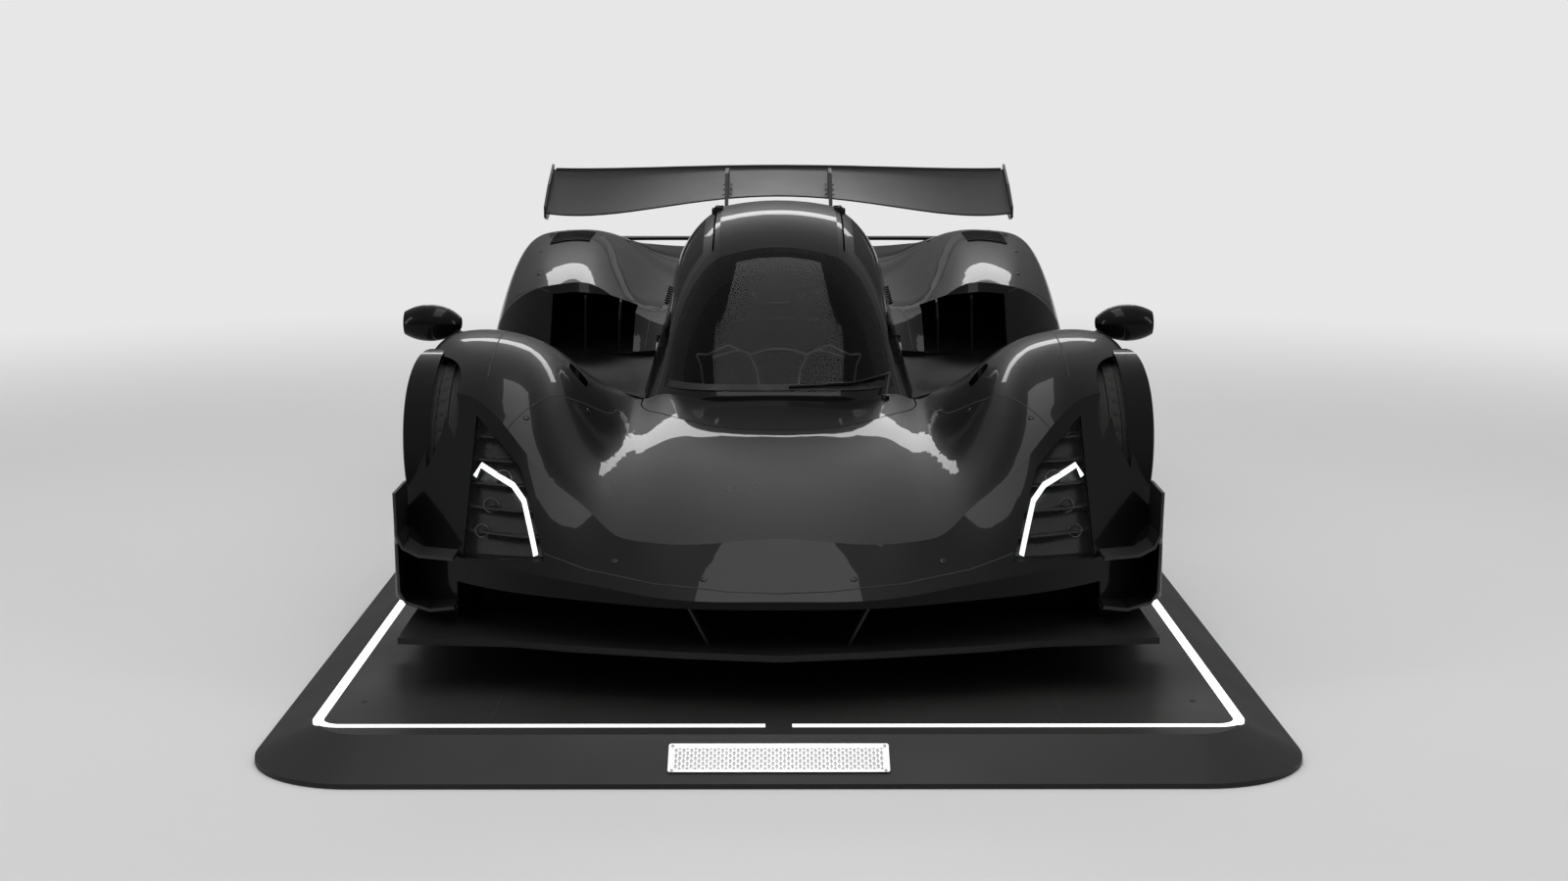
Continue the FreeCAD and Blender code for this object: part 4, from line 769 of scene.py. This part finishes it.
def wiperPiece():
    # arm, blade and rubber follow the glass, the arm's foot stands on the cowl
    spots = dense([at(x, -1.0, high) for x, high in wiper["line"]], 0.012)
    hits = landed(screenSkin, spots, rearward)

    def lifted(part, lift):
        return np.array([hit + normal * wiper[lift] for hit, normal in part])

    arm = lifted(hits[:len(hits) * 2 // 3], "armLift")
    forms = [tubeForm(arm, np.linspace(*wiper["armRadius"], len(arm)), 8),
             tubeForm(lifted(hits[3:], "bladeLift"), wiper["bladeRadius"], 6),
             tubeForm(lifted(hits[3:], "rubberLift"), wiper["rubberRadius"], 4)]
    foot = [(-0.002, 0.012), (0.006, 0.011), (0.012, 0.008), (0.013, 0.002)]
    for hit, normal in landed(frontSkin, [at(*wiper["foot"], overFront)], down):
        forms.append(turnedForm(foot, hit, normal, 20))
        forms.append(tubeForm([hit + normal * wiper["footLift"], arm[0]],
                              [0.0045, wiper["armRadius"][0]], 8))
    piece("wiper", forms, "darkSteel")


wiperPiece()

# black fired border along the foot of the windscreen
borderSizes = {"half": 0.33, "high": 0.557, "wide": 0.024, "lift": 0.0003}
borderLine = [at(x, -1.0, borderSizes["high"]) for x in spread(borderSizes["half"], 12)]
border = seamForm(screenSkin, borderLine, rearward, borderSizes["wide"], borderSizes["lift"])
piece("screen_border", kept([border]), "seam")

# mirror glasses in the rear of each mirror head
mirror = {"place": (1.026, 0.4955, 0.745), "narrow": 0.95, "deep": 0.004}
mirrorOutline = [(-0.042, 0.0), (-0.035, 0.026), (0.0, 0.036), (0.036, 0.026), (0.043, 0.0), (0.036, -0.024),
                 (0.0, -0.034), (-0.035, -0.024)]
glassPlace = at(*mirror["place"])
pane = plateForm([glassPlace + np.array([x * mirror["narrow"], 0.0, z]) for x, z in mirrorOutline],
                 (0, mirror["deep"], 0))
piece("mirror_glasses", paired([pane]), "mirror")
print("stage: wiper and mirrors")

# plinth: embossed pyramids on the plate, screws and joints on the deck
plateLow = np.array(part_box("plinth_plate")[0])
plateSizes = {"run": 0.145, "rise": 0.068, "thick": 0.004, "long": 0.47, "tall": 0.076, "pitch": 0.0086,
              "edge": 0.0085, "peak": 0.0019, "squat": 0.8, "screwSide": 0.236, "screwSpan": 0.092}


def platePattern():
    # rows of small three-sided pyramids on the plate's sloped face
    slope = math.atan2(plateSizes["rise"], plateSizes["run"])
    along = vec(0, math.cos(slope), math.sin(slope))
    normal = vec(0, -math.sin(slope), math.cos(slope))
    thick = plateSizes["thick"]
    start = np.array([0, plateLow[1] + thick * math.sin(slope), plateLow[2]]) + normal * thick
    pitch = plateSizes["pitch"]
    columns = int(plateSizes["long"] / pitch)
    size = pitch * 0.5
    points = []
    faces = []
    for row in range(int(plateSizes["tall"] / pitch)):
        for column in range(columns):
            centre = start + along * (plateSizes["edge"] + (row + 0.5) * pitch) + np.array(
                [(column - columns / 2 + 0.5) * pitch, 0, 0])
            up = 1 if (row + column) % 2 else -1
            reach = along * size * plateSizes["squat"] * up
            foot = normal * 0.0001
            base = len(points)
            points += [centre + vec(x, 0, 0) - reach + foot for x in (-size, size)]
            points += [centre + reach + foot, centre + normal * plateSizes["peak"]]
            faces += [(base, base + 1, base + 3), (base + 1, base + 2, base + 3), (base + 2, base, base + 3)]
    piece("plate_pattern", [(points, faces)], "plate_metal", smooth=False)
    screw = [(-0.001, 0.0032), (0.0012, 0.003), (0.0016, 0.0018), (0.0004, 0.0012)]
    screws = []
    for x in (-plateSizes["screwSide"], plateSizes["screwSide"]):
        for share in (0.07, 0.93):
            spot = np.array([x, plateLow[1], plateLow[2]]) + along * plateSizes["screwSpan"] * share
            spot = spot + normal * 0.0038
            screws.append(turnedForm(screw, spot, normal, 12))
    piece("plate_screws", screws, "steel")


platePattern()
deckSkin = skinOf("plinth")
deck = {"screwSides": (-0.98, -0.33, 0.33, 0.98), "screwBacks": (-2.3, -1.15, 0.0, 1.15, 2.3),
        "joints": (-0.66, 0.0, 0.66), "jointHalf": 2.46, "jointWide": 0.0022, "above": 0.3}
screwProfile = [(-0.001, 0.0075), (0.0008, 0.0075), (0.0012, 0.006), (0.0004, 0.0035), (0.0004, 0.0005)]
screwSpots = [(x, y, deck["above"]) for x in deck["screwSides"] for y in deck["screwBacks"]]
discs = onSkin(deckSkin, screwSpots, down, screwProfile, 16)
for x in deck["joints"]:
    ends = [(x, y, deck["above"]) for y in (-deck["jointHalf"], deck["jointHalf"])]
    discs.append(seamForm(deckSkin, ends, down, deck["jointWide"], 0.0003, 0.05))
piece("deck_screws_and_joints", kept(discs), "seam")
print("stage: plinth")

# tail: mesh behind the grille slots, lamp ribs, pipe rims and the holes in their ends
tail = {"back": 3.4195, "pitch": 0.0142, "wire": 0.0011, "lampBack": (3.4785, 3.4805), "ribPitch": 0.0146,
        "ribWide": 0.0035, "pipeSide": 0.075, "pipeHigh": 0.48, "holes": 16, "holeRing": 0.0235}


def tailMesh():
    wires = []
    for sign in (1, -1):
        for index in range(48):
            x = sign * (0.185 + index * tail["pitch"])
            wires.append(tubeForm([at(x, tail["back"] - 0.004, high) for high in (0.352, 0.560)],
                                  tail["wire"], 4))
        for index in range(15):
            high = 0.356 + index * tail["pitch"]
            wires.append(tubeForm([at(sign * x, tail["back"] - 0.005, high) for x in (0.18, 0.875)],
                                  tail["wire"], 4))
    piece("tail_mesh", wires, "mesh")


tailMesh()
ribs = []
near, far = tail["lampBack"]
for index in range(60):
    x = 0.012 + index * tail["ribPitch"]
    ribs.append(boxForm(at(x, near, 0.5945), at(x + tail["ribWide"], far, 0.6095)))
for index in range(6):
    high = 0.506 + index * tail["pitch"]
    ribs.append(boxForm(at(0.8865, near, high), at(0.9035, far, high + tail["ribWide"])))
piece("tail_lamp_ribs", paired(ribs), "red_lamp")
rimProfile = [(0.0, 0.0525), (0.006, 0.0545), (0.012, 0.0525), (0.012, 0.0465), (0.0, 0.0455)]
pipes = []
for x in (-tail["pipeSide"], tail["pipeSide"]):
    pipes.append(turnedForm(rimProfile, at(x, 3.5395, tail["pipeHigh"]), rearward, 40, closed=True))
    for index in range(tail["holes"]):
        angle = 2 * math.pi * index / tail["holes"]
        ring = tail["holeRing"] * vec(math.cos(angle), 0, math.sin(angle))
        pipes.append(turnedForm([(0, 0.0042), (0.002, 0.0042)], at(x, 3.455, tail["pipeHigh"]) + ring,
                                rearward, 8))
piece("pipe_rims", pipes, "exhaust")
print("stage: tail")

# wing: trailing lip, plate bolts and pylon clamps
wingSkin = skinOf("wing")
wing = {"lipBack": 3.532, "lipHalf": 0.962, "lipSteps": 80, "above": 1.4, "clampSide": 0.215,
        "clampBacks": (3.23, 3.29, 3.35), "clampGap": 0.016, "endSide": 0.98,
        "endBolts": ((3.24, 0.925), (3.33, 0.965), (3.42, 1.005), (3.5, 1.045))}
lipSection = ((0.004, -0.001), (0.0065, 0.011), (0.0035, 0.011), (0.001, -0.001))
lipSpots = [at(x, wing["lipBack"], wing["above"]) for x in spread(wing["lipHalf"], wing["lipSteps"])]
line = np.array([hit for hit, normal in landed(wingSkin, lipSpots, down)])
piece("wing_lip", [stripForm(*[line + (0, back, high) for back, high in lipSection])], "satin_black")
clampProfile = [(-0.001, 0.0045), (0.0016, 0.0045), (0.0024, 0.0036), (0.0024, 0.0022), (0.001, 0.0014)]
endProfile = [(0, 0.0058), (0.0022, 0.0055), (0.003, 0.004), (0.001, 0.0026)]
clamps = []
for x in (-wing["clampSide"], wing["clampSide"]):
    for back in wing["clampBacks"]:
        spots = [at(x + side * wing["clampGap"], back, wing["above"]) for side in (-1, 1)]
        clamps += onSkin(wingSkin, spots, down, clampProfile, 6)
for side in (-1, 1):
    for back, high in wing["endBolts"]:
        clamps.append(turnedForm(endProfile, at(side * wing["endSide"], back, high), (side, 0, 0), 12))
piece("wing_bolts", clamps, "darkSteel")
print("stage: wing")

# cabin: padded seats, belts, displays, wheel grips, pedals and the bright brace lines behind the screen
seat = {"pitch": 0.375, "front": 0.77, "wide": 0.37, "cushionLong": 0.25, "cushionThick": 0.028,
        "backLong": 0.40, "backThick": 0.024}


def padForm(origin, along, normal, long, thick, channels, sideRoll, rows=34, columns=30):
    # cushion: full in the middle, rounded off at its rim, raised rolls at both sides, stitched channels across
    u = spread(1, columns)[None, :]
    v = spread(1, rows)[:, None]
    edge = (1 - np.abs(u) ** 6) ** 0.5 * (1 - np.abs(v) ** 8) ** 0.5
    rolls = sideRoll * np.exp(-((np.abs(u) - 0.82) / 0.16) ** 2)
    stitch = 0.006 * np.exp(-((((v + 1) / 2 * channels) % 1.0 - 0.5) / 0.07) ** 2) * (np.abs(u) < 0.66)
    high = (thick + rolls - stitch) * edge
    wide = seat["wide"]
    side = vec(1.0, 0, 0)
    top = origin + (u * wide / 2)[..., None] * side + (v * long / 2)[..., None] * along
    top = top + high[..., None] * normal
    low = origin + (u * wide / 2 * 0.97)[..., None] * side + (v * long / 2 * 0.98)[..., None] * along
    low = low - 0.004 * normal
    points = np.concatenate([top.reshape(-1, 3), low.reshape(-1, 3)])
    faces = gridFaces(rows, columns)
    count = rows * columns
    faces += [tuple(count + index for index in face[::-1]) for face in faces]
    rim = list(range(columns)) + [i * columns + columns - 1 for i in range(1, rows)]
    rim += [count - 1 - i for i in range(1, columns)] + [(rows - 1 - i) * columns for i in range(1, rows - 1)]
    for a, b in zip(rim, rim[1:] + rim[:1]):
        faces.append((a, b, count + b, count + a)[::-1])
    return points, faces


def seatPads(index, front):
    cushion = padForm(at(0, front + 0.135, 0.276), vec(0, 0.998, -0.05), vec(0, 0.05, 0.998),
                      seat["cushionLong"], seat["cushionThick"], 4, 0.012)
    foot = vec(0, front + 0.285, 0.30)
    head = vec(0, front + 0.335, 0.76)
    lean = (head - foot) / np.linalg.norm(head - foot)
    normal = np.array([0, -lean[2], lean[1]])
    middle = (foot + head) / 2
    backRest = padForm(at(0, middle[1] - 0.002, middle[2]), lean, normal, seat["backLong"],
                       seat["backThick"], 7, 0.02)
    for name, form in (("cushion", cushion), ("back_pad", backRest)):
        soft = piece("seat_%s_%d" % (name, index), [form], "pad")
        rounding = soft.modifiers.new("rounding", "SUBSURF")
        rounding.levels = 1
        rounding.render_levels = 1


seatFronts = [seat["front"] + index * seat["pitch"] for index in range(2)]
for index, front in enumerate(seatFronts):
    seatPads(index, front)
# belts as (sideways, back from the seat's front, high) corners
strapLine = ((0.075, 0.300, 0.755), (0.072, 0.265, 0.62), (0.06, 0.235, 0.46), (0.035, 0.19, 0.335),
             (0.02, 0.16, 0.322))
strapHalf = vec(0.021, 0, 0)
strapThick = vec(0, -0.0022, 0.0008)
straps = []
for front in seatFronts:
    for side in (-1, 1):
        spots = dense([at(side * x, front + back, high) for x, back, high in strapLine], 0.02)
        points, faces = stripForm(spots - strapHalf, spots + strapHalf, spots + strapHalf + strapThick,
                                  spots - strapHalf + strapThick)
        straps.append((points, faces + [(0, 1, 2, 3)]))
piece("belts", straps, "strap")
buckles = [boxForm(at(-0.03, front + 0.145, 0.312), at(0.03, front + 0.185, 0.328)) for front in seatFronts]
piece("buckles", buckles, "steel")

# dash: display with lit bars, and two round vents
dash = {"barFirst": -0.07, "barPitch": 0.0155, "barWide": 0.009, "barLow": 0.512, "ventSide": 0.25,
        "ventHigh": 0.445, "vaneHighs": (-0.014, -0.005, 0.004, 0.013)}
piece("dash_display", [boxForm(at(-0.085, 0.5775, 0.506), at(0.085, 0.5790, 0.536))], "screen")
lit = []
for index in range(9):
    x = dash["barFirst"] + index * dash["barPitch"]
    top = dash["barLow"] + 0.004 + 0.002 * (index % 4)
    lit.append(boxForm(at(x, 0.5790, dash["barLow"]), at(x + dash["barWide"], 0.5796, top)))
piece("display_bars", lit, "glow")
ventProfile = [(0, 0.030), (0.003, 0.031), (0.004, 0.027), (0.0012, 0.026), (0.0012, 0.001)]
vents = []
for x in (-dash["ventSide"], dash["ventSide"]):
    vents.append(turnedForm(ventProfile, at(x, 0.6, dash["ventHigh"]), rearward, 32))
    for high in dash["vaneHighs"]:
        low = dash["ventHigh"] + high
        vents.append(boxForm(at(x - 0.022, 0.6012, low), at(x + 0.022, 0.6032, low + 0.0018)))
piece("dash_vents", vents, "darkSteel")

# silvery brace lines that show through the screen, standing on the dash
# corners of each left-hand line: sideways, back, high
braceLines = [
    [(0.224, 0.590, 0.500), (0.236, 0.596, 0.600), (0.251, 0.600, 0.633), (0.216, 0.600, 0.629),
     (0.153, 0.602, 0.660), (0.089, 0.600, 0.633), (0.066, 0.590, 0.588), (0.060, 0.572, 0.542)],
    [(0.200, 0.600, 0.622), (0.122, 0.600, 0.645), (0.084, 0.600, 0.632)],
]
braceSizes = {"radius": 0.0034, "step": 0.006, "arcHalf": 0.084, "arcHigh": 0.648, "arcDrop": 0.018}
brace = []
for line in braceLines:
    spots = dense([at(*corner) for corner in line], braceSizes["step"])
    for _ in range(2):
        spots[1:-1] = (spots[:-2] + 2 * spots[1:-1] + spots[2:]) / 4
    brace.append(tubeForm(spots, braceSizes["radius"], 8))
arc = [at(x, 0.600, braceSizes["arcHigh"] - braceSizes["arcDrop"] * (x / braceSizes["arcHalf"]) ** 2)
       for x in spread(braceSizes["arcHalf"], 24)]
piece("brace_lines", paired(brace) + [tubeForm(arc, braceSizes["radius"], 8)], "silver")
# bright edges on the front backrest: harness bar, slot and guides
guides = [tubeForm([at(-0.14, 1.068, 0.688), at(0.14, 1.068, 0.688)], 0.0032, 8),
          tubeForm([at(-0.033, 1.074, 0.741), at(0.033, 1.074, 0.741)], 0.003, 8)]
guides += paired([tubeForm([at(0.085, 1.08, 0.772), at(0.069, 1.076, 0.744)], 0.003, 8)])
piece("harness_guides", guides, "silver")

grip = {"ring": 0.15, "reach": 38, "steps": 26, "thick": 0.0148, "swell": 0.0012}


def steeringTrim():
    # grips, buttons and shift paddles, laid out in the wheel's own plane
    joint = joints["steering_wheel"]
    centre = np.array(joint["pos_m"])
    way = np.array(joint["axis"])
    way /= np.linalg.norm(way)
    up = np.array([0, -way[2], way[1]])
    right = vec(1.0, 0, 0)
    thick = grip["thick"] + grip["swell"] * np.sin(np.linspace(0, math.pi, grip["steps"]))
    grips = []
    for middle in (0, 180):
        turns = np.radians(middle + spread(grip["reach"], grip["steps"]))
        path = [centre + grip["ring"] * (math.cos(turn) * right + math.sin(turn) * up) for turn in turns]
        grips.append(tubeForm(path, thick, 16))
    piece("wheel_grips", grips, "pad", body="steering_wheel")
    button = [(0.006, 0.0042), (0.0115, 0.0042), (0.0125, 0.003)]
    boss = [(0.004, 0.024), (0.014, 0.022), (0.016, 0.012), (0.016, 0.001)]
    controls = [turnedForm(button, centre + right * x + up * high, way, 12)
                for x in (-0.055, -0.03, 0.03, 0.055) for high in (-0.006, 0.006)]
    controls.append(turnedForm(boss, centre, way, 28))
    for side in (-1, 1):
        outline = [centre + right * side * a + up * b - way * 0.02 for a, b in (
            (0.07, 0.02), (0.125, 0.03), (0.13, -0.02), (0.075, -0.015))]
        controls.append(plateForm(outline, way * -0.003))
    piece("wheel_controls", controls, "darkSteel", body="steering_wheel")


steeringTrim()
pedal = {"sides": (-0.09, 0.09), "treads": 6, "treadPitch": 0.016}
pedals = []
for x in pedal["sides"]:
    pedals.append(boxForm(at(x - 0.035, -0.185, 0.20), at(x + 0.035, -0.177, 0.31)))
    pedals.append(tubeForm([at(x, -0.18, 0.31), at(x, -0.20, 0.375)], 0.006, 8))
    for index in range(pedal["treads"]):
        rise = index * pedal["treadPitch"]
        pedals.append(boxForm(at(x - 0.028, -0.177, 0.21 + rise), at(x + 0.028, -0.1745, 0.216 + rise)))
piece("pedals", pedals, "steel")
print("stage: cabin")

# floor, light and camera
studio = {"floorHalf": 90.0, "floorGrey": 0.80, "skyGrey": 0.80, "diffuse": 0.55, "glossLow": 0.18,
          "glossHigh": 0.75, "floorNear": 3.0, "floorFar": 8.0,
          "boxLights": (  # place, size, power, turn
              ((0.0, -1.0, 6.0), (1.7, 6.5), 120.0, (0, 0, 0)),
              ((-6.5, -4.0, 3.6), (0.8, 4.0), 70.0, (62, 0, -58)),
              ((6.5, -4.0, 3.6), (0.8, 4.0), 70.0, (62, 0, 58)),
              ((0.0, 7.5, 4.5), (6.0, 0.8), 90.0, (-62, 0, 0)))}


def floorPiece():
    half = studio["floorHalf"]
    mesh = bpy.data.meshes.new("studio_floor")
    mesh.from_pydata([(x, y, 0) for x in (-half, half) for y in (-half, half)], [], [(0, 2, 3, 1)])
    floor = bpy.data.objects.new("studio_floor", mesh)
    bpy.context.scene.collection.objects.link(floor)
    pale = studio["floorGrey"]
    finish = Finish("pale_floor", {"Base Color": grey(pale), "Roughness": 0.7})
    finish.tint(finish.noise(0.6, 4), grey(pale * 0.96), grey(pale))
    # far away the floor turns into the backdrop's colour, so that no horizon shows
    distance = finish.node("ShaderNodeVectorMath", {"operation": "LENGTH"}, {0: finish.place()}, output=1)
    far = finish.node("ShaderNodeMapRange", {"interpolation_type": "SMOOTHSTEP"},
                      {"Value": distance, 1: studio["floorNear"], 2: studio["floorFar"]})
    sky = finish.node("ShaderNodeEmission", inputs={"Color": grey(studio["skyGrey"])})
    near = Value(finish, finish.shader.outputs[0])
    mixed = finish.node("ShaderNodeMixShader", inputs={0: far, 1: near, 2: sky})
    finish.tree.links.new(mixed.socket, finish.tree.nodes["Material Output"].inputs["Surface"])
    mesh.materials.append(finish.material)


def studioWorld():
    # cameras see an even pale backdrop, reflections see a sky that brightens upwards
    world = bpy.data.worlds.new("studio")
    bpy.context.scene.world = world
    world.use_nodes = True
    sky = Tree(world.node_tree)

    def ray(kind):
        return sky.node("ShaderNodeLightPath", output=kind)

    place = sky.node("ShaderNodeTexCoord", output="Generated")
    height = sky.node("ShaderNodeSeparateXYZ", inputs={"Vector": place}, output="Z")
    rise = sky.node("ShaderNodeMapRange", {"interpolation_type": "SMOOTHSTEP"}, {
        "Value": height, 1: 0.02, 2: 0.75, 3: studio["glossLow"], 4: studio["glossHigh"]})
    glossy = sky.node("ShaderNodeMix", {"data_type": "FLOAT"}, {
        0: ray("Is Glossy Ray"), 2: studio["diffuse"], 3: rise})
    seen = sky.node("ShaderNodeMath", {"operation": "MAXIMUM"}, {
        0: ray("Is Camera Ray"), 1: ray("Is Transmission Ray")})
    level = sky.node("ShaderNodeMix", {"data_type": "FLOAT"}, {0: seen, 2: glossy, 3: 1.0})
    shade = sky.tree.nodes["Background"]
    shade.inputs["Color"].default_value = grey(studio["skyGrey"])
    sky.tree.links.new(level.socket, shade.inputs["Strength"])


floorPiece()
studioWorld()
for index, (where, wide, power, turn) in enumerate(studio["boxLights"]):
    lamp = bpy.data.lights.new("softbox_%d" % index, "AREA")
    lamp.shape = "RECTANGLE"
    lamp.size, lamp.size_y = wide
    lamp.energy = power
    holder = bpy.data.objects.new("softbox_%d" % index, lamp)
    holder.location = where
    holder.rotation_euler = [math.radians(angle) for angle in turn]
    bpy.context.scene.collection.objects.link(holder)

lens = {"focal": 50.0, "pitch": 9.39, "yaw": 0.142, "ahead": 5.95, "above": 1.45}
camera = bpy.data.objects.new("camera", bpy.data.cameras.new("camera"))
camera.data.lens = lens["focal"]
camera.data.sensor_width = 36.0
camera.data.clip_end = 200.0
camera.location = (0, frontAxle - lens["ahead"], ground + lens["above"])
camera.rotation_euler = (math.radians(90 - lens["pitch"]), 0, math.radians(-lens["yaw"]))
bpy.context.scene.collection.objects.link(camera)
bpy.context.scene.camera = camera
bpy.context.scene.view_settings.view_transform = "Standard"
print("stage: studio")
